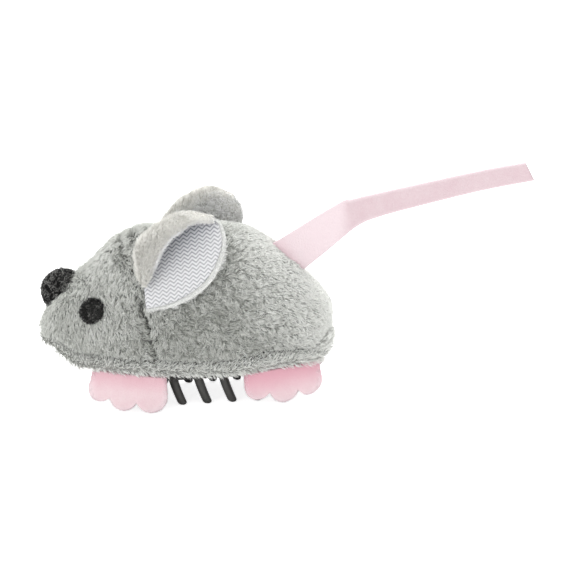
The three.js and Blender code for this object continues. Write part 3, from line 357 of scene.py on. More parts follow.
def belly_panel(side):
    """Half the belly panel, which bulges in a roll along the hem, and how near each point is to
    it, for the painted shade in its crease. Columns run from the hem to the opening, or else to the
    keel."""
    a, b = shares(*PANEL_GRID["belly"])
    along, half, _, _ = np.moveaxis(curve(STATIONS, a), -1, 0)
    share = np.clip(opening_half(along - BODY_MIDDLE) / np.maximum(half, 1e-6), 0, 1)
    edge = -np.arccos(share ** (1 / SQUARE_POWER))
    rise = hem_rise(a) + (edge - hem_rise(a)) * b
    deep = HEM_DIP * step(a, 0.02, 0.1) * (1 - 0.8 * step(a, 0.8, 0.93))
    inset = cloth_inset(a, rise, side, ((b * HEM_WIDTH, deep),))
    rolled = np.sin(np.pi * np.clip(b / 0.5, 0, 1)) ** 0.7
    rolled = rolled * (0.35 + 0.65 * step(a, 0.12, 0.3)) * (1 - 2.2 * step(a, 0.84, 0.97))
    # Nearness to the hem, for the painted shade in its crease.
    near = hill(b * HEM_WIDTH / CREASE_SHADE_REACH) * step(a, 0.02, 0.1)
    return cover(a, rise, side, inset - HEM_ROLL * rolled), near


def new_piece(name, points, corners, counts, material, body, maps=()):
    """A smooth mesh of points in millimetres. Corners lists the faces' corner numbers in one
    row, and counts says how many each has. Maps holds a UV place for each point, by name."""
    mesh = bpy.data.meshes.new(name)
    mesh.vertices.add(len(points))
    mesh.vertices.foreach_set("co", ((points + FRAME_SHIFT) / 1000).astype(np.float32).ravel())
    mesh.loops.add(len(corners))
    mesh.loops.foreach_set("vertex_index", corners.astype(np.int32))
    mesh.polygons.add(len(counts))
    starts = np.concatenate([[0], np.cumsum(counts)[:-1]])
    mesh.polygons.foreach_set("loop_start", starts.astype(np.int32))
    mesh.update(calc_edges=True)
    mesh.polygons.foreach_set("use_smooth", np.ones(len(counts), bool))
    for title, places in dict(maps).items():
        layer = mesh.uv_layers.new(name=title)
        layer.data.foreach_set("uv", places[corners].astype(np.float32).ravel())
    mesh.materials.append(material)
    made = placed(name, mesh)
    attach(made, body)
    return made


def cloth_piece(name, grids, material, body, inside_out, thickness, maps=()):
    """One sheet from a grid of points, or from several, with a wall on its inner side."""
    points = np.concatenate([grid.reshape(-1, 3) for grid in grids])
    faces = []
    start = 0
    for grid, turned_over in zip(grids, inside_out):
        rows, columns = grid.shape[:2]
        i, j = np.meshgrid(np.arange(rows - 1), np.arange(columns - 1), indexing="ij")
        first = (start + i * columns + j).ravel()
        squares = np.stack([first, first + columns, first + columns + 1, first + 1], -1)
        faces.append(squares[:, ::-1] if turned_over else squares)
        start += rows * columns
    corners = np.concatenate(faces)
    counts = np.full(len(corners), 4)
    made = new_piece(name, points, corners.ravel(), counts, material, body, maps)
    wall = made.modifiers.new("wall", "SOLIDIFY")
    wall.thickness = thickness / 1000
    wall.offset = -1
    return made


def value_group(name, inputs, outputs):
    """A new node group with its sockets, its inputs, and the node that takes its outputs."""
    group = bpy.data.node_groups.new(name, "ShaderNodeTree")
    for way, sockets in (("INPUT", inputs), ("OUTPUT", outputs)):
        for title, kind in sockets:
            group.interface.new_socket(title, in_out=way, socket_type="NodeSocket" + kind)
    given = group.nodes.new("NodeGroupInput").outputs
    return group, given, group.nodes.new("NodeGroupOutput")


def blend(tree, share, low, high, way="MIX"):
    """A colour between two, or their product."""
    inputs = {0: share, 6: low, 7: high}
    return node(tree, "Mix", inputs, data_type="RGBA", blend_type=way).outputs[2]


def relief(tree, height, depth):
    """The normal of a fine relief, whose depth is in millimetres."""
    return node(tree, "Bump", {"Height": height, "Distance": depth / 1000}).outputs["Normal"]


def uv_parts(tree, name):
    """The two values of a UV map, X across and Y upwards."""
    place = node(tree, "UVMap", uv_map=name).outputs["UV"]
    return node(tree, "SeparateXYZ", {"Vector": place}).outputs


def mottling_group():
    """Cloudy variation at two scales: a colour between two, a value and a height. The scales
    are in features per metre."""
    group, given, wanted = value_group(
        "mottling",
        [("Low", "Color"), ("High", "Color"), ("Broad", "Float"), ("Fine", "Float")],
        [("Color", "Color"), ("Value", "Float"), ("Height", "Float")],
    )
    place = node(group, "TexCoord").outputs["Object"]
    broad = node(group, "TexNoise", {"Vector": place, "Scale": given["Broad"], "Detail": 3.0})
    fine = node(group, "TexNoise", {"Vector": place, "Scale": given["Fine"], "Detail": 2.0})
    value = ramp(group, reckon(group, "ADD", broad.outputs["Fac"], fine.outputs["Fac"]), 0.7, 1.3)
    feed(wanted, {"Color": blend(group, value, given["Low"], given["High"]), "Value": value})
    feed(wanted, {"Height": fine.outputs["Fac"]})
    return group


mottling = mottling_group()


def mottled(tree, low, high, broad, fine):
    """The mottling between two colours, at its two scales."""
    inputs = {"Low": (*low, 1), "High": (*high, 1), "Broad": broad, "Fine": fine}
    return node(tree, "Group", inputs, node_tree=mottling).outputs


def mottled_material(name, low, high, scales, roughness, depth, metallic=0.0):
    """A finish whose colour, roughness and fine relief vary over the surface."""
    material, tree, shader = new_material(name, {"Metallic": metallic})
    cloud = mottled(tree, low, high, *scales)
    rough = ramp(tree, cloud["Value"], start=roughness[0], end=roughness[1])
    feed(shader, {"Base Color": cloud["Color"], "Roughness": rough})
    feed(shader, {"Normal": relief(tree, cloud["Height"], depth)})
    return material


def backing_material():
    """Grey knit, dark so that the gaps between the fibres take painted shade, and darker still in the
    creases of the seams as painted shade. The UV map holds the nearness to a seam.
    """
    material = mottled_material(
        "plush_backing", (0.3, 0.305, 0.285), (0.4, 0.405, 0.38), (500, 4000), (0.9, 1.0), 0.1
    )
    tree = material.node_tree
    shader = tree.nodes["Principled BSDF"]
    cloth = shader.inputs["Base Color"].links[0].from_socket
    # Painted shade in the creases of the seams.
    colour = blend(tree, uv_parts(tree, "Seam")["X"], cloth, (0.11, 0.113, 0.105, 1))
    feed(shader, {"Base Color": colour})
    return material


def seam_shade_map(*near):
    """The UV map for the backing's painted shade in the seams' creases, from the nearness to a seam on
    one grid or more.
    """
    near = np.concatenate([part.ravel() for part in near])
    return {"Seam": np.stack([near, near], -1)}


backing = backing_material()
PANELS, SEAM_SHADE = {}, {}
for side, word in SIDES:
    for part in ("face", "back"):
        PANELS[part + "_" + word], SEAM_SHADE[part + "_" + word] = side_panel(side, part)
    PANELS["belly_" + word], SEAM_SHADE["belly_" + word] = belly_panel(side)
for part in ("face", "back"):
    for side, word in SIDES:
        name = part + "_" + word
        grids, turned, maps = [PANELS[name]], [side > 0], seam_shade_map(SEAM_SHADE[name])
        cloth = cloth_piece(name + "_cloth", grids, backing, "toy", turned, CLOTH_THICKNESS, maps)
        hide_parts(name)
halves = [PANELS["belly_left"], PANELS["belly_right"]]
maps = seam_shade_map(SEAM_SHADE["belly_left"], SEAM_SHADE["belly_right"])
belly = cloth_piece("belly_cloth", halves, backing, "toy", [True, False], CLOTH_THICKNESS, maps)
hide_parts("belly_panel")


# The cover's pile. Soft fibres about 1.5 mm long stand in the knit. They are combed down on the
# face and backwards on the body, lie together in small locks that swirl, and curl outwards in a
# band along the hem.

random = np.random.default_rng(21)
FIBRE_STEPS = (0.0, 0.5, 1.0)
FIBRES_A_PIECE = 19000
WIDE_LOCKS = 5
MEAN_TONE = 0.6
TONE_SPREAD = {"lock": 0.28, "wide": 0.16, "fibre": 0.16}
# Fibres per square millimetre, their length and radius, the size of a lock, how far locks and
# wide tufts turn, how much a lock gathers, and the lean angles of a fibre's two halves.
COAT = dict(
    per_mm2=30, length=1.5, radius=0.062, lock=1.15, swirl=1.1, drift=0.9, gather=0.5, lean=(0.62, 1.18)
)
HEM_COAT = dict(COAT, lock=1.6, swirl=0.9, gather=0.85)
NOSE_CENTRE = np.array([-22.6, 0, 21.3])
NOSE_HALF = np.array([3.75, 3.1, 3.65])
EYE_PLACE = np.array([-16.4, 0, 19.6])
EYE_RADIUS = 2.25


def normals_of(grid, outwards):
    """Unit normals of a grid, from the differences along its rows and its columns."""
    return unit(np.cross(np.gradient(grid, axis=0), np.gradient(grid, axis=1))) * outwards


def square_areas(grid):
    """The area of each square of a grid."""
    cross = np.cross(grid[1:, :-1] - grid[:-1, :-1], grid[:-1, 1:] - grid[:-1, :-1])
    return np.linalg.norm(cross, axis=-1)


def scatter(grid, normal, per_mm2):
    """Random places spread evenly over a grid: its squares are drawn by their area, and then a
    point inside each. Gives the places, their normals and their shares along rows and columns."""
    area = square_areas(grid).ravel()
    count = int(area.sum() * per_mm2)
    pick = np.searchsorted(np.cumsum(area), random.random(count) * area.sum())
    pick = np.minimum(pick, len(area) - 1)
    i, j = np.divmod(pick, grid.shape[1] - 1)
    u, v = random.random((2, count, 1))

    def mixed(values):
        near = values[i, j] * (1 - v) + values[i, j + 1] * v
        far = values[i + 1, j] * (1 - v) + values[i + 1, j + 1] * v
        return near * (1 - u) + far * u

    along = (i + u[:, 0]) / (grid.shape[0] - 1)
    return mixed(grid), unit(mixed(normal)), along, (j + v[:, 0]) / (grid.shape[1] - 1)


def scrambled(cell, salt):
    """Numbers from 0 to 1 that depend only on a cell of a lattice, by mixing its bits."""
    keys = np.array([73856093, 19349663, 83492791], np.uint64)
    mixed = (cell.astype(np.int64).astype(np.uint64) * keys).sum(-1) + np.uint64(salt * 7919)
    for shift, factor in ((30, 0xBF58476D1CE4E5B9), (27, 0x94D049BB133111EB)):
        mixed = (mixed ^ (mixed >> np.uint64(shift))) * np.uint64(factor)
    mixed = mixed ^ (mixed >> np.uint64(31))
    return (mixed >> np.uint64(40)).astype(float) / 2**24


def locks(points, size):
    """The nearest of one random middle for each cube of a lattice, with its three numbers."""
    cell = np.floor(points / size)
    best = np.full(len(points), np.inf)
    middle = np.zeros_like(points)
    own = np.zeros_like(points)
    for beside in np.array(np.meshgrid([-1, 0, 1], [-1, 0, 1], [-1, 0, 1])).reshape(3, -1).T:
        near = cell + beside
        seat = (near + np.stack([scrambled(near, k) for k in (1, 2, 3)], -1)) * size
        distance = ((points - seat) ** 2).sum(1)
        closer = distance < best
        best = np.where(closer, distance, best)
        middle = np.where(closer[:, None], seat, middle)
        numbers = np.stack([scrambled(near, k) for k in (4, 5, 6)], -1)
        own = np.where(closer[:, None], numbers, own)
    return middle, own


def combed(normal, direction):
    """The part of a direction that lies along the surface, as unit vectors."""
    return unit(direction - normal * (direction * normal).sum(1, keepdims=True))


def fibres(name, root, normal, comb, length, lean, tone, radius, material, body):
    """Closed bent spikes with three sides. Each rises from its root and leans over towards its
    comb direction, by the lean angles of its two halves. The UV map holds the fibre's tone
    across, and the place from root to tip upwards."""
    line = [root]
    for angle, part in zip(lean, np.diff(FIBRE_STEPS)):
        way = normal * np.cos(angle)[:, None] + comb * np.sin(angle)[:, None]
        line.append(line[-1] + way * (part * length)[:, None])
    flat = np.cross(normal, comb)
    points = []
    u = []
    for angle, place, shrink in zip(lean, line, (1.0, 0.8)):
        up = comb * np.cos(angle)[:, None] - normal * np.sin(angle)[:, None]
        for k in range(3):
            turn = 0.5 - k * 2 * math.pi / 3
            ring = flat * math.cos(turn) + up * math.sin(turn)
            points.append(place + ring * (radius * shrink)[:, None])
            u.append(tone + 0.006 * (k - 1))
    points.append(line[2])
    u.append(tone)
    points = np.stack(points, 1).reshape(-1, 3)
    v = 0.02 + 0.96 * np.array([FIBRE_STEPS[k // 3] for k in range(7)])
    uv = np.stack(np.broadcast_arrays(np.stack(u, 1), v[None]), -1).reshape(-1, 2)
    faces = [2, 1, 0]
    for k in range(3):
        faces += [k, (k + 1) % 3, 3 + (k + 1) % 3, 3 + k]
    for k in range(3):
        faces += [3 + k, 3 + (k + 1) % 3, 6]
    counts = np.tile([3] + [4] * 3 + [3] * 3, len(root))
    corners = (np.array(faces)[None] + 7 * np.arange(len(root))[:, None]).ravel()
    maps = {"OFBake": np.clip(uv, 0.01, 0.99)}
    return new_piece(name, points, corners, counts, material, body, maps)


def pile_group():
    """The colour of a fibre from its UV map: from the dark tone to the light one across, and
    darkened towards the root as painted shade deep in the pile."""
    group, given, wanted = value_group(
        "pile_tone", [("Dark", "Color"), ("Light", "Color"), ("RootShade", "Float")], [("Color", "Color")]
    )
    place = uv_parts(group, "OFBake")
    tone = blend(group, place["X"], given["Dark"], given["Light"])
    # Painted shade towards the root.
    shade = ramp(group, place["Y"], high=0.8, start=given["RootShade"])
    feed(wanted, {"Color": blend(group, 1.0, tone, shade, "MULTIPLY")})
    return group


pile_tone = pile_group()


def pile_material(name, dark, light, root, roughness=0.8):
    """Soft fibres between two tones, with painted shade towards the root."""
    material, tree, shader = new_material(name, {"Roughness": roughness, "Specular IOR Level": 0.2})
    tones = {"Dark": (*dark, 1), "Light": (*light, 1), "RootShade": root}
    tone = node(tree, "Group", tones, node_tree=pile_tone)
    feed(shader, {"Base Color": tone.outputs["Color"]})
    return material


def lay_pile(name, grid, outwards, material, look, way, at=None, body="toy"):
    """The pile of one panel. Way gives the direction in which it is combed. At gives, for each
    root, whether it is there, its length and lean as shares of the look's, its tone, and how
    evenly it lies."""
    root, normal, along, across = scatter(grid, normals_of(grid, outwards), look["per_mm2"])
    there, *given = at(root, along, across) if at else (True, 1.0, 1.0, 0.0, 0.0)
    there = np.broadcast_to(there, len(root))
    size, stoop, tint, calm = (np.broadcast_to(value, len(root))[there] for value in given)
    root, normal = root[there], normal[there]
    middle, own = locks(root, look["lock"])
    _, wide = locks(root, WIDE_LOCKS * look["lock"])
    count = len(root)
    comb = combed(normal, way(root))
    uneven = 1 - 0.7 * calm
    turn = (own[:, 0] - 0.5) * 2 * look["swirl"] + (wide[:, 0] - 0.5) * look["drift"]
    turn = ((turn + random.normal(0, 0.5, count)) * uneven)[:, None]
    comb = comb * np.cos(turn) + np.cross(normal, comb) * np.sin(turn)
    gather = combed(normal, middle - root + comb * look["lock"] * 0.8)
    share = look["gather"] * uneven[:, None]
    comb = combed(normal, comb * (1 - share) + gather * share)
    length = look["length"] * size * (0.88 + 0.24 * own[:, 1]) * random.uniform(0.75, 1.15, count)
    sway = 0.25 * (own[:, 2] - 0.5) + random.normal(0, 0.16, count)
    lean = [np.clip(base * stoop + sway, 0.05, 1.5) for base in look["lean"]]
    tone = TONE_SPREAD["lock"] * (own[:, 1] - 0.5) + TONE_SPREAD["wide"] * (wide[:, 1] - 0.5)
    tone = tone + random.normal(0, TONE_SPREAD["fibre"], count)
    tone = np.clip(MEAN_TONE + tint + tone * (1 - 0.6 * calm), 0.03, 0.97)
    radius = look["radius"] * random.uniform(0.75, 1.2, count) * (1 + 0.15 * calm)
    pieces = math.ceil(count / FIBRES_A_PIECE)
    for k in range(pieces):
        title = f"{name}_pile_{k + 1}" if pieces > 1 else name + "_pile"
        part = slice(k, None, pieces)
        lines = (root[part], normal[part], comb[part], length[part])
        leans = [angle[part] for angle in lean]
        pile = fibres(title, *lines, leans, tone[part], radius[part], material, body)


def side_way(root):
    """Down on the face, more and more backwards on the body, and straight back at the hem."""
    back = step(root[:, 0], -12, 4)
    hem = 1 - step(root[:, 2], 9, 12)
    return np.stack([0.45 + 0.4 * back, 0 * back, (0.4 * back - 0.9) * (1 - 0.8 * hem)], -1)


def side_coat(root, along, across):
    """Short and thin beside the hem and in the gap of the face seam, which both take painted shade.
    Longer on the brow, darker on the body's side under the ear as painted shadow, and smooth on the
    head, the snout's slope and the rump, which is paler as painted light."""
    x, y, z = root.T
    brow = step(z, 22, 26) * step(-x, 3, 8) * step(8 - np.abs(y), 0, 3)
    rump = step(x + 0.5 * z, 19, 31)
    slope = step(z - 0.4 * x, 16, 22) * step(-x, 8, 14)
    head = 0.65 * step(z, 19, 24) * step(-x, 6, 9)
    hem = (1 - step(across, 0.0, 0.05)) * step(x, *HEM_START) * (1 - step(x, 13, 20))
    low = (1 - step(across, 0.03, 0.11)) * (1 - step(x, 16, 23))
    gap = 1 - step(np.abs(behind_seam(x, z)), 0.1, 0.8)
    gap = gap * step(z, 8, 14) * (1 - step(z, 19, 22.5))
    size = (1 + 0.2 * brow - 0.35 * rump) * (1 - 0.6 * low) * (1 - 0.55 * gap)
    stoop = 1 - 0.1 * brow + 0.2 * rump + 0.1 * slope
    painted_ear_shadow = hill((x - 3) / 10, (z - 14.5) / 8)
    # Painted light on the rump, painted shadow under the ear, and painted shade beside the hem and in
    # the seam's gap.
    tint = 0.13 + 0.3 * rump - 0.3 * painted_ear_shadow - 0.15 * hem - 0.9 * gap - 0.25 * step(across, 0.8, 1)
    tint = tint - 0.2 * step(-x, 16, 22) * slope
    calm = np.maximum(np.maximum(rump, slope), head)
    thin = np.maximum(0.7 * hem, gap)
    there = random.random(len(root)) < 0.83 + 0.17 * calm - 0.9 * thin
    return there & ~covered(root), size, stoop, tint, calm


def belly_coat(root, along, across):
    """Curled out in a band along the hem, and thinner underneath. Paler in the band, and darker beside
    the hem as painted shade in its crease.
    """
    band = 1 - step(across, 0.2, 0.45)
    hem = (1 - step(across, 0.0, 0.08)) * step(along, 0.02, 0.1) * (1 - step(along, 0.75, 0.88))
    low = (1 - step(across, 0.05, 0.2)) * (1 - step(along, 0.78, 0.9))
    there = random.random(len(root)) < 0.3 + 0.55 * band - 0.6 * hem
    # Painted shade beside the hem's crease; paler in the band.
    return there, 1 - 0.5 * low, 1 - 0.15 * band, 0.24 + 0.3 * band - 0.15 * hem, 0.5


def belly_way(root):
    """Backwards, and away from the middle of the hem's roll both up and down."""
    roll = np.interp(root[:, 0], STATIONS[:, 0] - BODY_MIDDLE, STATIONS[:, 2]) + 0.5 * HEM_RISE
    lift = np.clip((root[:, 2] - roll) / 1.2, -1, 1)
    return np.stack([0.7 + 0 * lift, 0 * lift, 0.7 * np.minimum(lift, 0.5)], -1)


def covered(root):
    """Whether a root is under the nose or an eye."""
    nose = (((root - NOSE_CENTRE) / (NOSE_HALF * 0.75)) ** 2).sum(1) < 1
    eye = ((root - EYE_PLACE) * [1, 0, 1]) ** 2
    return nose | (eye.sum(1) < (EYE_RADIUS * 0.75) ** 2)


plush = pile_material("plush_pile", (0.45, 0.465, 0.42), (0.99, 1.0, 0.965), root=0.9)
for side, word in SIDES:
    for part in ("face", "back"):
        name = part + "_" + word
        lay_pile(name, PANELS[name], -side, plush, COAT, side_way, side_coat)
    lay_pile("belly_" + word, PANELS["belly_" + word], side, plush, HEM_COAT, belly_way, belly_coat)


# The filling. Loose white fibre fills the bag around the crawler. It is the same shape as the
# space that holds it, softened, and it only shows where a seam is open.

FIBRE_VOXEL = 0.0007


def read_vectors(mesh, what):
    """The places or the normals of a mesh's vertices."""
    values = np.empty(3 * len(mesh.vertices), np.float32)
    mesh.vertices.foreach_get(what, values)
    return values.reshape(-1, 3)


def make_filling():
    """The filling's own solid, merged, rebuilt as one even skin, ruffled by slow waves, and drawn
    in with the face seam under the ears."""
    made = placed("filling", nodes["stuffing"].data.copy())
    made.modifiers.new("merge", "WELD").merge_threshold = 0.00001
    remesh = made.modifiers.new("skin", "REMESH")
    remesh.mode = "VOXEL"
    remesh.voxel_size = FIBRE_VOXEL
    smooth = made.modifiers.new("soften", "SMOOTH")
    smooth.factor = 0.6
    smooth.iterations = 4
    graph = bpy.context.evaluated_depsgraph_get()
    mesh = bpy.data.meshes.new_from_object(made.evaluated_get(graph))
    made.modifiers.clear()
    made.data = mesh
    place, normal = read_vectors(mesh, "co"), read_vectors(mesh, "normal")
    x, y, z = 1000 * place.T
    waves = np.sin(1.7 * x + np.sin(2.3 * z)) * np.cos(1.9 * y + 1.3 * z)
    seam = behind_seam(x - FRAME_SHIFT[0], z)
    drawn = 1.75 * EAR_PULL * hill(seam / 2.2, (z - EAR_PULL_Z) / 4.5) * step(np.abs(y), 8.5, 10.5)
    place = place - normal * ((0.3 + 0.12 * waves + drawn) / 1000)[:, None]
    mesh.vertices.foreach_set("co", place.astype(np.float32).ravel())
    mesh.polygons.foreach_set("use_smooth", np.ones(len(mesh.polygons), bool))
    mesh.materials.clear()
    white = mottled_material(
        "white_fibre", (0.78, 0.78, 0.77), (0.92, 0.92, 0.91), (300, 3000), (0.85, 1), 0.3
    )
    mesh.materials.append(white)
    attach(made, "toy")
    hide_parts("stuffing")


make_filling()


# The ears. Each is a layer of grey plush and a layer of white patterned knit, sewn together
# round the rim and turned. The front edge is rolled outwards, so that plush lies back over the
# knit. The root is caught in the face seam.

EAR_RIM = np.array(
    [[-6.0, 19.7], [-2.1, 20.2], [1.3, 21.3], [4.4, 23.0]]
    + [[6.8, 25.4], [8.3, 28.4], [8.8, 31.2], [8.1, 34.0]]
)
EAR_FOLD = np.array(
    [[-6.3, 25.2], [-6.5, 27.8], [-6.4, 30.4], [-5.3, 32.4]]
    + [[-3.0, 34.0], [-0.3, 35.3], [2.8, 36.1], [7.3, 34.9]]
)
EAR_EDGE = np.array(
    [[-6.3, 25.7], [-4.5, 27], [-3.4, 28.8], [-2.2, 30.9]]
    + [[-0.8, 32.6], [0.9, 33.8], [3.4, 35.0], [7.4, 34.7]]
)
EAR_ROOT_SIDE = 11.85
EAR_LEAN = 0.2
RIGHT_EAR_BACK = 0.1
RIGHT_EAR_SHIFT = (0.7, 0.3)
RIGHT_EAR_NARROW = 0.15
EAR_ROLL = 1.9
EAR_TIP = 0.985
WALL_END = 0.5
ROLL_END = 0.78
EAR_ROWS = 70
EAR_COLUMNS = 80
LAYER_THICKNESS = 0.25
LAYER_OFF = {"knit": 0.3, "cloth": -0.2, "pile": -0.45}
RIM_RADIUS = 0.23
LIP_RADIUS = 0.38
RIM_BAND = 0.55
ZIGZAG = {"period": 1.41, "spacing": 0.675, "height": 0.3, "slope": 0.17}
EAR_COAT = dict(
    per_mm2=34, length=1.15, radius=0.055, lock=0.9, swirl=0.8, drift=0.6, gather=0.35, lean=(0.8, 1.25)
)
FOLD_COAT = dict(EAR_COAT, per_mm2=44, length=0.9, radius=0.048, lock=1.1, swirl=0.6)
RIM_COAT = dict(EAR_COAT, per_mm2=36, length=0.5, radius=0.045, swirl=0.6)


def ear_sheet(t, s):
    """Places on the ear, rolled and flat. From the rim (s = 0) a wall runs to the fold, half a
    circle turns over it, and a flat flap runs back to the free edge (s = 1)."""
    rim, fold, edge = (curve(line, t) for line in (EAR_RIM, EAR_FOLD, EAR_EDGE))
    across = fold - rim
    width = np.linalg.norm(across, axis=-1)
    across = across / width[..., None]
    fullness = np.sin(np.pi * np.minimum(1, 0.08 + 0.92 * t)) ** 0.6
    roll = np.minimum(EAR_ROLL * fullness, width / 3)
    share = np.clip(s / WALL_END, 0, 1)
    turn = np.pi * np.clip((s - WALL_END) / (ROLL_END - WALL_END), 0, 1)
    over = np.clip((s - ROLL_END) / (1 - ROLL_END), 0, 1)
    back = edge - fold
    flap = np.linalg.norm(back, axis=-1)
    start = rim + across * (width - roll)[..., None]
    end = fold + back * np.maximum(1, 1.05 * roll / flap)[..., None]
    on_wall = s <= WALL_END
    along = np.where(on_wall, share * (width - roll), width - roll + roll * np.sin(turn))
    depth = np.where(on_wall, 0.9 * roll * (1 - share) ** 2, roll * (1 - np.cos(turn)))
    place = rim + across * along[..., None]
    place = np.where((over > 0)[..., None], start + (end - start) * over[..., None], place)
    depth = np.where(over > 0, 2 * roll - 0.2 * over, depth)
    unrolled = share * (width - roll) + roll * turn + over * np.linalg.norm(end - start, axis=-1)
    y = EAR_ROOT_SIDE + depth - EAR_LEAN * (place[..., 1] - 20)
    rolled = np.stack([place[..., 0], -y, place[..., 1]], -1)
    return rolled, rim + across * unrolled[..., None], unrolled


def on_side(points, side):
    """Points of the left ear on either side. The right ear is turned a little further back, and
    its tip is narrower."""
    points = points * np.array([1, -side, 1])
    if side > 0:
        x, _, z = np.moveaxis(points.copy(), -1, 0)
        narrower = RIGHT_EAR_NARROW * step(z, 26, 33) * (9.5 - x)
        points[..., 0] += RIGHT_EAR_BACK * (z - 20) + RIGHT_EAR_SHIFT[0] + narrower
        points[..., 2] += RIGHT_EAR_SHIFT[1] - RIGHT_EAR_BACK * (x - 1)
    return points


def ear_layer(side, off, s_from=0.0, s_to=1.0):
    """One layer of the ear, off millimetres from its middle towards the knit. Gives the points,
    and for the knit its flat pattern and its distance from the rim."""
    t = np.linspace(0, EAR_TIP, EAR_ROWS)
    s = np.linspace(s_from, s_to, EAR_COLUMNS)
    rolled, flat, unrolled = ear_sheet(*np.meshgrid(t, s, indexing="ij"))
    rolled = rolled + normals_of(rolled, 1) * off
    return on_side(rolled, side), flat, unrolled


def lining_material():
    """White knit with fine zigzag rows of grey. The pattern is drawn on the flat cloth, in
    millimetres, with plain white along the rim and stronger grey under the fold, partly painted shade.
    The ground takes painted shade under the fold, and a dark line of painted shade runs along the rim
    and the tip."""
    material, tree, shader = new_material("ear_lining", {"Roughness": 0.85})

    def product(first, second):
        return reckon(tree, "MULTIPLY", first, second)

    flat, edge = uv_parts(tree, "Cloth"), uv_parts(tree, "Edge")
    wave = reckon(tree, "PINGPONG", product(flat["X"], 1 / ZIGZAG["period"]), 0.5)
    level = reckon(tree, "ADD", flat["Y"], product(wave, 4 * ZIGZAG["height"]))
    level = reckon(tree, "SUBTRACT", level, product(flat["X"], ZIGZAG["slope"]))
    row = reckon(tree, "PINGPONG", product(level, 1 / ZIGZAG["spacing"]), 0.5)
    line = reckon(tree, "SUBTRACT", 1.0, ramp(tree, row, 0.06, 0.26))
    inside = ramp(tree, edge["X"], RIM_BAND - 0.15, RIM_BAND + 0.1)
    strength = product(product(line, inside), edge["Y"])
    # Painted shade on the ground under the fold.
    painted_fold_shade = ramp(tree, edge["Y"], low=0.6, end=0.75)
    ground = blend(tree, painted_fold_shade, (0.71, 0.71, 0.725, 1), (0.33, 0.34, 0.37, 1))
    colour = blend(tree, strength, ground, (0.09, 0.1, 0.12, 1))
    # Painted shade of the groove beside the rim's bead, and at the tip.
    seam = ramp(tree, edge["X"], 0.3, 0.5, start=0.55)
    feed(shader, {"Base Color": blend(tree, 1.0, colour, seam, "MULTIPLY")})
    cloth = node(tree, "UVMap", uv_map="Cloth").outputs["UV"]
    loops = node(tree, "TexWave", {"Vector": cloth, "Scale": 1.2, "Distortion": 1.0})
    height = reckon(tree, "ADD", row, product(loops.outputs["Fac"], 0.4))
    feed(shader, {"Normal": relief(tree, height, 0.1)})
    return material


def ring_of(path, radius, sides=12):
    """A round section carried along a path. The last column repeats the first."""
    way = unit(np.gradient(path, axis=0))
    flat = unit(np.cross(way, np.array([0.1, 1.0, 0.2])))
    up = np.cross(way, flat)
    angle = np.linspace(0, 2 * np.pi, sides + 1)[None, :, None]
    return path[:, None] + (flat[:, None] * np.cos(angle) + up[:, None] * np.sin(angle)) * radius


def closed_piece(name, grid, material, body, maps=()):
    """A closed piece from a grid whose last column repeats its first. Each end is a fan. Maps
    give a UV place for each point of the grid."""
    rows, columns = grid.shape[0], grid.shape[1] - 1
    ends = np.stack([grid[0, :-1].mean(0), grid[-1, :-1].mean(0)])
    points = np.concatenate([grid[:, :-1].reshape(-1, 3), ends])
    i, j = np.meshgrid(np.arange(rows - 1), np.arange(columns), indexing="ij")
    a, b = i * columns + j, i * columns + (j + 1) % columns
    squares = np.stack([a, b, b + columns, a + columns], -1).reshape(-1, 4)
    k = np.arange(columns)
    top = (rows - 1) * columns
    first = np.stack([np.full(columns, rows * columns), (k + 1) % columns, k], -1)
    last = np.stack([np.full(columns, rows * columns + 1), top + k, top + (k + 1) % columns], -1)
    corners = np.concatenate([squares.ravel(), first.ravel(), last.ravel()])
    counts = np.concatenate([np.full(len(squares), 4), np.full(2 * columns, 3)])
    at = {
        title: np.concatenate([uv[:, :-1].reshape(-1, 2), uv[[0, -1], 0]])
        for title, uv in dict(maps).items()
    }
    return new_piece(name, points, corners, counts, material, body, at)


def ear_way(root):
    """From the ear's root up and back."""
    return np.broadcast_to(np.array([0.55, 0, 0.83]), root.shape)


def fold_coat(root, along, across):
    """Greyer at the root, paler at the tip and beside the free edge."""
    tint = 0.17 + 0.2 * (along - 0.4) + 0.15 * step(across, 0.4, 0.8)
    size = 1 + 0.5 * (1 - step(across, 0.2, 0.6)) - 0.65 * step(across, 0.86, 1)
    return True, size * (1 - 0.7 * step(along, 0.7, 0.95)), 1, tint, 0.0


def back_coat(root, along, across):
    """Shorter and flatter towards the tip, and paler all over as painted light."""
    tip = step(along, 0.7, 0.95)
    return True, 1 - 0.6 * tip, 1 + 0.2 * tip, 0.3, 0.0


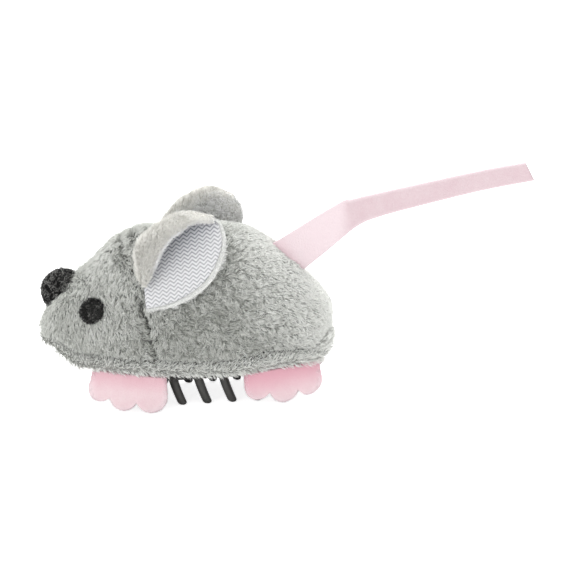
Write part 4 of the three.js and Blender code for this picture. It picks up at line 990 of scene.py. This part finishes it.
def make_ear(word, side):
    """The two layers, the beads of the rim and the free edge, and the short pile of one ear."""
    body = "ear_" + word

    def pile(part, grid, outwards, material, look, at=None):
        lay_pile(part + word, grid, outwards, material, look, ear_way, at, body)

    front, flat, unrolled = ear_layer(side, LAYER_OFF["knit"], 0.035)
    t, s = shares(EAR_ROWS, EAR_COLUMNS)
    # How far under the fold: the rows grow stronger there, partly as painted shade, and the ground
    # takes painted shade.
    strong = 0.6 + 0.4 * step(0.4 * t + 1.6 * s, 0.35, 1.0)
    maps = {
        "Cloth": flat.reshape(-1, 2),
        "Edge": np.stack([np.minimum(unrolled, 30 * (1 - t)), strong], -1).reshape(-1, 2),
    }
    lining = cloth_piece("ear_lining_" + word, [front], knit, body, [side > 0], LAYER_THICKNESS, maps)
    rear, _, _ = ear_layer(side, LAYER_OFF["cloth"])
    cloth = cloth_piece("ear_cloth_" + word, [rear], ear_backing, body, [side < 0], LAYER_THICKNESS)
    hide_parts(body)
    wall, _, _ = ear_layer(side, LAYER_OFF["pile"], 0, 0.55)
    fold, _, _ = ear_layer(side, LAYER_OFF["pile"], 0.5, 1)
    pile("ear_back_", wall, side, lit_ear_pile, EAR_COAT, back_coat)
    pile("ear_fold_", fold, side, fold_pile, FOLD_COAT, fold_coat)
    t = np.linspace(0, EAR_TIP, 90)
    s = np.linspace(0, WALL_END, 16)[1:]
    path = np.concatenate([ear_sheet(t, 0 * t + 0.015)[0], ear_sheet(0 * s + EAR_TIP, s)[0]])
    rim = ring_of(on_side(path, side), RIM_RADIUS)
    bead = closed_piece("ear_rim_" + word, rim, rim_cloth, body)
    pile("ear_rim_", rim, -1, lit_ear_pile, RIM_COAT)
    lip = ring_of(on_side(ear_sheet(t, 0 * t + 0.99)[0], side), LIP_RADIUS, 8)
    bead = closed_piece("ear_lip_" + word, lip, lip_cloth, body)
    pile("ear_lip_", lip, -1, lip_pile, RIM_COAT)


knit = lining_material()
rim_cloth = mottled_material(
    "ear_rim", (0.6, 0.61, 0.59), (0.78, 0.785, 0.77), (900, 5000), (0.9, 1), 0.1
)
lip_cloth = mottled_material(
    "ear_lip", (0.84, 0.84, 0.84), (0.94, 0.94, 0.94), (900, 5000), (0.9, 1), 0.05
)
ear_backing = mottled_material(
    "ear_backing", (0.78, 0.78, 0.74), (0.9, 0.9, 0.87), (500, 4000), (0.9, 1.0), 0.05
)
# The ears' back and rim plush is paler than the body's as painted light on the far ear.
lit_ear_pile = pile_material("ear_back_pile", (0.86, 0.875, 0.85), (1.0, 1.0, 0.99), root=0.99)
lip_pile = pile_material("ear_lip_pile", (0.8, 0.8, 0.79), (1.0, 1.0, 1.0), root=0.98)
fold_pile = pile_material("ear_fold_pile", (0.5, 0.495, 0.44), (1.0, 0.99, 0.95), root=0.97)
for side, word in SIDES:
    make_ear(word, side)


# The nose and the eyes. The nose is a ball of black curly plush sewn to the slope of the face,
# and each eye is a button of the same cloth. Both are stitched through the cover.

CURLS = dict(
    per_mm2=42, length=0.85, radius=0.065, lock=0.5, swirl=3.1, drift=3.0, gather=0.2, lean=(0.3, 1.3)
)
EYE_CURLS = dict(CURLS, length=0.55, radius=0.055)


def ball(centre, axes):
    """An ellipsoid as a grid from its lowest to its highest point, on three given half axes,
    with small lumps. The last column repeats the first."""
    rise = np.linspace(-0.497, 0.497, 40)[:, None] * np.pi
    turn = np.linspace(0, 2 * np.pi, 61)[None]
    lumps = 1 + 0.03 * np.sin(5 * turn) * np.cos(4 * rise)
    wide = np.cos(rise) * lumps
    grid = (wide * np.cos(turn))[..., None] * axes[0]
    grid = grid + (wide * np.sin(turn))[..., None] * axes[1]
    return centre + grid + (np.sin(rise) * lumps)[..., None] * axes[2]


def any_way(root):
    """A direction of its own for every fibre."""
    return random.normal(0, 1, root.shape)


def nose_coat(root, along, across):
    """Every curl has its own tone, and one in three is pale, a painted glint."""
    _, own = locks(root, 0.25)
    return True, 1.0, 1.0, 1.5 * step(own[:, 0], 0.6, 0.82) - 0.78, 0.0


def eye_coat(root, along, across):
    """As on the nose, but fewer and dimmer pale curls, painted glints."""
    _, own = locks(root, 0.34)
    return True, 1.0, 1.0, 0.45 * step(own[:, 0], 0.5, 0.9) - 0.66, 0.0


def eye_axes():
    """The place of the left eye on the cover, found by halving, and its half axes: along the
    cover, up it, and out of it."""
    t, rise = (0.0, 1.0), (0.0, 1.5)
    for _ in range(40):
        t_middle, rise_middle = sum(t) / 2, sum(rise) / 2
        here = cover(np.array(t_middle), np.array(rise_middle), -1)
        t = (t_middle, t[1]) if here[0] < EYE_PLACE[0] else (t[0], t_middle)
        rise = (rise_middle, rise[1]) if here[2] < EYE_PLACE[2] else (rise[0], rise_middle)
    ahead = cover(np.array(t[0] + 0.01), np.array(rise[0]), -1) - here
    above = cover(np.array(t[0]), np.array(rise[0] + 0.05), -1) - here
    along, out = unit(ahead), unit(np.cross(ahead, above))
    return here, (along * EYE_RADIUS * 1.05, np.cross(out, along) * EYE_RADIUS * 0.95, out * 0.75)


black = mottled_material(
    "black_cloth", (0.015, 0.015, 0.014), (0.03, 0.03, 0.028), (800, 5000), (0.9, 1), 0.1
)
# The light tone is a painted glint on the black curls.
black_curls = pile_material("black_curls", (0.001,) * 3, (0.48, 0.48, 0.46), root=0.1, roughness=0.6)
nose = ball(NOSE_CENTRE, np.diag(NOSE_HALF))
made = closed_piece("nose_ball", nose, black, "toy")
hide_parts("nose")
lay_pile("nose", nose, -1, black_curls, CURLS, any_way, nose_coat, "toy")
eye_centre, eye_half = eye_axes()
for side, word in SIDES:
    eye = ball(eye_centre, eye_half) * np.array([1, -side, 1])
    made = closed_piece("eye_button_" + word, eye if side < 0 else eye[:, ::-1], black, "toy")
    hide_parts("eye_" + word)
    lay_pile("eye_" + word, eye, side, black_curls, EYE_CURLS, any_way, eye_coat, "toy")


# The tail. A strip of pink wool felt, cut with square edges, stands on edge in the seam of the
# back and bends once, a third of the way along.

TAIL_TOP = np.array([[16.2, 27.4], [28.9, 34.2], [32.4, 35.1], [44, 37], [55.8, 38.8], [63.5, 39.7]])
TAIL_LOW = np.array(
    [[21.3, 21.9], [26.9, 25.9], [32.2, 29.8], [36.4, 31.4], [45.1, 33.2], [55.6, 35.1], [64.9, 36.3]]
)
FELT_THICKNESS = 1.2


def felt_material(name, light):
    """Pink felt: paler fibres matted into it, a deeper pink where it is sewn in, which is painted
    shade under the cover, and a whitish edge. The UV map holds how pale it is across, which on the
    tail's root is painted light, and how deep the painted shade is upwards."""
    material, tree, shader = new_material(name, {"Roughness": 0.95, "Specular IOR Level": 0.2})
    low, high = np.array([[0.83, 0.6, 0.65], [0.87, 0.67, 0.71]]) * light
    cloud = mottled(tree, low, high, 500, 3600)
    place = uv_parts(tree, "Felt")
    edge = blend(tree, place["X"], cloud["Color"], (0.86, 0.75, 0.78, 1))
    # Painted shade: deeper pink where the felt goes in under the cover.
    full = blend(tree, place["Y"], edge, (0.66, 0.33, 0.4, 1))
    feed(shader, {"Base Color": full, "Normal": relief(tree, cloud["Height"], 0.1)})
    return material


def tail_strip(low, top):
    """Flat sections with rounded edges between the low and the top edge, and how pale and how
    deep the felt is: paler at the edges, paler near the root as painted light, and deep at the seam as
    painted shade. The last column repeats the first."""
    a = np.linspace(0, 1, len(low))
    turn = np.linspace(0, 2 * np.pi, 57)
    c, s = np.cos(turn), np.sin(turn)
    across = 0.5 + 0.5 * np.sign(c) * np.abs(c) ** 0.3
    y = FELT_THICKNESS / 2 * np.sign(s) * np.abs(s) ** 0.4
    flat = low[:, None] + (top - low)[:, None] * across[None, :, None]
    y = np.broadcast_to(y, flat.shape[:2])
    near = 0.4 * step(np.broadcast_to(np.abs(2 * across - 1), y.shape), 0.7, 1)
    # Painted light near the root.
    pale = np.maximum(near, 0.55 * (1 - step(a, 0.2, 0.34))[:, None])
    # Painted shade at the seam.
    deep = np.broadcast_to(0.25 * (1 - step(a, 0, 0.05))[:, None], y.shape)
    return np.stack([flat[..., 0], y, flat[..., 1]], -1), np.stack([pale, deep], -1)


felt = felt_material("pink_felt", (0.88, 0.91, 0.89))
# The tail's felt is a darker copy of the paws' felt, painted shade for the stronger light that falls on
# it.
shaded_tail_felt = felt_material("pink_felt_tail_shaded", (0.75, 0.795, 0.785))
low, top = (curve(line, np.linspace(0, 1, 160)) for line in (TAIL_LOW, TAIL_TOP))
strip, felt_map = tail_strip(low, top)
made = closed_piece("tail_strip", strip[:, ::-1], shaded_tail_felt, "tail", {"Felt": felt_map[:, ::-1]})
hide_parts("tail")


# The paws. Each is one piece of the same felt with three round toes, caught in the hem. A few
# loose fibres stand round its edge.

PAW_TUCK = 1.0
PAW_SPLAY = 0.25
PAW_CENTRE_Z = 5.6
PAW_EDGE = 0.12
# The two ends of the seam, the toes' places and radii, and how deep the pink of the painted shade under
# the hem is and how far it reaches.
PAWS = {
    "front": ((-17.4, -3.7), [(-16.4, 4.6, 2.15), (-11.9, 3.75, 2.8), (-6.7, 3.5, 3.0)], (0.5, 2.8)),
    "rear": ((10.3, 23.8), [(12.7, 4.0, 2.4), (17.4, 3.35, 2.7), (22.0, 3.5, 2.25)], (0.85, 4.5)),
}
FUZZ = dict(
    per_mm2=14, length=0.4, radius=0.025, lock=0.8, swirl=3.1, drift=1.0, gather=0.1, lean=(0.9, 1.45)
)


def station(x, column):
    """Half the width, the underside or the ridge at a place along the body."""
    return np.interp(x, STATIONS[:, 0] - BODY_MIDDLE, STATIONS[:, column])


def outline(centre, angle, top, toes):
    """How far the paw reaches from its centre in each direction: the farthest of its round toes
    and of the straight-sided felt between them."""
    way = np.stack([np.cos(angle), np.sin(angle)], -1)
    far = np.zeros_like(angle)
    for x, z, radius in toes:
        to = np.array([x, z]) - centre
        along = way @ to
        inside = radius**2 - (to @ to - along**2)
        far = np.maximum(far, np.where(inside > 0, along + np.sqrt(np.maximum(inside, 0)), 0))
    first, last = toes[0], toes[-1]
    corners = [(top[0], station(top[0], 2) + PAW_TUCK), (first[0] - first[2], first[1])]
    corners += [(x, z) for x, z, _ in toes]
    corners += [(last[0] + last[2], last[1]), (top[1], station(top[1], 2) + PAW_TUCK)]
    corners = np.array(corners) - centre
    for a, b in zip(corners, np.roll(corners, -1, axis=0)):
        edge = b - a
        cross = way[:, 0] * edge[1] - way[:, 1] * edge[0]
        cross = np.where(np.abs(cross) < 1e-9, 1e-9, cross)
        distance = (a[0] * edge[1] - a[1] * edge[0]) / cross
        share = (a[0] * way[:, 1] - a[1] * way[:, 0]) / cross
        hit = (distance > 0) & (share >= 0) & (share <= 1)
        far = np.maximum(far, np.where(hit, distance, 0))
    return far


def paw(part, side):
    """A felt sheet in rings, from the middle of its outer face round the edge to the middle of
    its inner face, and its UV places, which hold its paler edge and the painted shade under the hem.
    The last column repeats the first."""
    top, toes, (most_hem_shade, reach) = PAWS[part]
    middle = (top[0] + top[1]) / 2
    centre = np.array([middle, PAW_CENTRE_Z])
    angle = np.linspace(0, 2 * np.pi, 241)
    far = outline(centre, angle, top, toes)
    rounded = 1 - PAW_EDGE + PAW_EDGE * np.sin(np.linspace(0.1, 1, 8) * np.pi / 2)
    share = np.concatenate([np.linspace(0.02, 1 - PAW_EDGE, 16), rounded])
    share = np.concatenate([share, share[-2::-1]])
    inner = np.clip((1 - share) / PAW_EDGE, 0, 1)
    depth = np.sqrt(1 - (1 - inner) ** 2) * FELT_THICKNESS / 2
    depth[len(depth) // 2 + 1 :] *= -1
    way = np.stack([np.cos(angle), np.sin(angle)], -1)
    flat = centre + way[None] * (far * share[:, None])[..., None]
    x, z = flat[..., 0], flat[..., 1]
    under = station(x, 2) - z
    ruffle = 0.12 * np.sin(1.3 * x) * step(under, 0, 4)
    y = station(x, 1) - 1.2 - PAW_SPLAY * (z - station(middle, 2)) + depth[:, None] + ruffle
    pale = np.broadcast_to(0.5 * step(share[:, None], 0.8, 1), x.shape) * step(under, -1, 1)
    # Painted shade: a deeper pink under the hem.
    deep = most_hem_shade * (1 - step(under, -0.5, reach))
    return np.stack([x, side * y, z], -1), np.stack([pale, deep], -1)


def paw_coat(root, along, across):
    """Loose fibres round the edge alone."""
    return np.abs(along - 0.5) < 0.17, 1.0, 1.0, 0.0, 0.0


fuzz = pile_material("felt_fuzz", (0.9, 0.76, 0.8), (0.96, 0.88, 0.9), root=1.0)
for part in PAWS:
    for side, word in SIDES:
        name = f"paw_{part}_{word}"
        grid, felt_map = paw(part, side)
        if side < 0:
            grid, felt_map = grid[:, ::-1], felt_map[:, ::-1]
        made = closed_piece(name + "_felt", grid, felt, name, {"Felt": felt_map})
        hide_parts(name)
        lay_pile(name, grid, -1, fuzz, FUZZ, any_way, paw_coat, name)


# The legs. Two combs of soft black rubber with six legs each stand in slots of the crawler. The
# legs lean back, so that its shaking drives the toy forward, and each ends in a rounded sole.

LEG_SOLES = np.array([-11.6, -6.4, -1.7, 2.9, 7.5, 12.1])
LEG_HEIGHT = 5.5
COMB_Y = 6.9
COMB_BOX = ((-14.2, 12.0), 1.6, (4.9, 7.5))


def leg(sole):
    """A round column along a slightly bowed line, wider where it grows out of the comb."""
    up = np.concatenate([[0, 0.01, 0.03, 0.06], np.linspace(0.1, 1, 20)])
    x = sole + 0.15 - 1.6 * up - 0.12 * np.sin(np.pi * up)
    radius = 0.83 + 0.04 * up + 0.3 * np.clip((up - 0.8) / 0.2, 0, 1) ** 2
    radius = radius * np.sqrt(1 - np.clip(1 - up / 0.1, 0, 0.97) ** 2)
    turn = np.linspace(0, 2 * np.pi, 29)
    ring = np.stack([np.cos(turn), np.sin(turn), 0 * turn], -1)
    line = np.stack([x, np.full_like(x, -COMB_Y), LEG_HEIGHT * up], -1)
    return line[:, None] + ring[None] * radius[:, None, None]


def comb_bar():
    """A bar with rounded edges, as sections along its length."""
    (x0, x1), width, (z0, z1) = COMB_BOX
    turn = np.linspace(0, 2 * np.pi, 41)
    c, s = np.cos(turn), np.sin(turn)
    y = width / 2 * np.sign(c) * np.abs(c) ** 0.25 - COMB_Y
    z = (z0 + z1) / 2 + (z1 - z0) / 2 * np.sign(s) * np.abs(s) ** 0.25
    x = np.linspace(x0, x1, 40)
    return np.stack(np.broadcast_arrays(x[:, None], y[None], z[None]), -1)


rubber = mottled_material(
    "black_rubber", (0.048, 0.047, 0.044), (0.078, 0.076, 0.072), (300, 6000), (0.3, 0.42), 0.01
)
for side, word in SIDES:
    for k, grid in enumerate([comb_bar()] + [leg(sole) for sole in LEG_SOLES]):
        grid = grid * np.array([1, -side, 1])
        name = f"leg_{k}_{word}" if k else "leg_comb_" + word
        made = closed_piece(name, grid if side < 0 else grid[:, ::-1], rubber, "toy")
        if k == 0:
            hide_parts("leg_row_" + word)


# The crawler. A moulded chassis and its top shell hold a small motor with a weight on one side
# of its shaft, a circuit board, a button cell under a door with one screw, and a slide switch.
# Their shapes stay as they are, and each gets its own finish here.

FINISHES = {
    "grey_plastic": ((0.16, 0.16, 0.165), (0.2, 0.2, 0.205), (400, 9000), (0.35, 0.5), 0.01),
    "dark_plastic": ((0.03, 0.03, 0.033), (0.05, 0.05, 0.053), (400, 9000), (0.3, 0.5), 0.01),
    "slider_plastic": ((0.6, 0.6, 0.58), (0.7, 0.7, 0.68), (600, 9000), (0.35, 0.5), 0.01),
    "green_board": ((0.02, 0.13, 0.06), (0.03, 0.19, 0.09), (700, 4000), (0.25, 0.4), 0.01),
    "ceramic": ((0.45, 0.3, 0.16), (0.55, 0.38, 0.2), (900, 9000), (0.35, 0.5), 0.005),
    "red_sleeve": ((0.45, 0.02, 0.02), (0.55, 0.03, 0.03), (900, 6000), (0.35, 0.5), 0.005),
    "blue_sleeve": ((0.02, 0.06, 0.4), (0.03, 0.08, 0.5), (900, 6000), (0.35, 0.5), 0.005),
}
METALS = {
    "bright_steel": ((0.5, 0.5, 0.51), (0.62, 0.62, 0.63), (500, 8000), (0.22, 0.4), 0.004),
    "heavy_metal": ((0.3, 0.3, 0.31), (0.4, 0.4, 0.41), (500, 6000), (0.35, 0.55), 0.008),
    "sprung_brass": ((0.58, 0.42, 0.16), (0.7, 0.52, 0.22), (500, 8000), (0.25, 0.45), 0.004),
}
USES = {
    "grey_plastic": ["chassis"],
    "dark_plastic": ["top_shell", "motor_cap", "cell_door"],
    "slider_plastic": ["switch_slider"],
    "green_board": ["circuit_board"],
    "ceramic": ["capacitor"],
    "red_sleeve": ["motor_lead_red"],
    "blue_sleeve": ["motor_lead_blue"],
    "bright_steel": ["motor_can", "motor_shaft", "button_cell", "door_screw", "switch_body"],
    "heavy_metal": ["eccentric_weight"],
    "sprung_brass": ["contact_negative", "contact_positive"],
}
for name, look in {**FINISHES, **METALS}.items():
    finish = mottled_material(name, *look, metallic=1.0 if name in METALS else 0.0)
    for part in USES[name]:
        for slot in nodes[part].material_slots:
            slot.material = finish
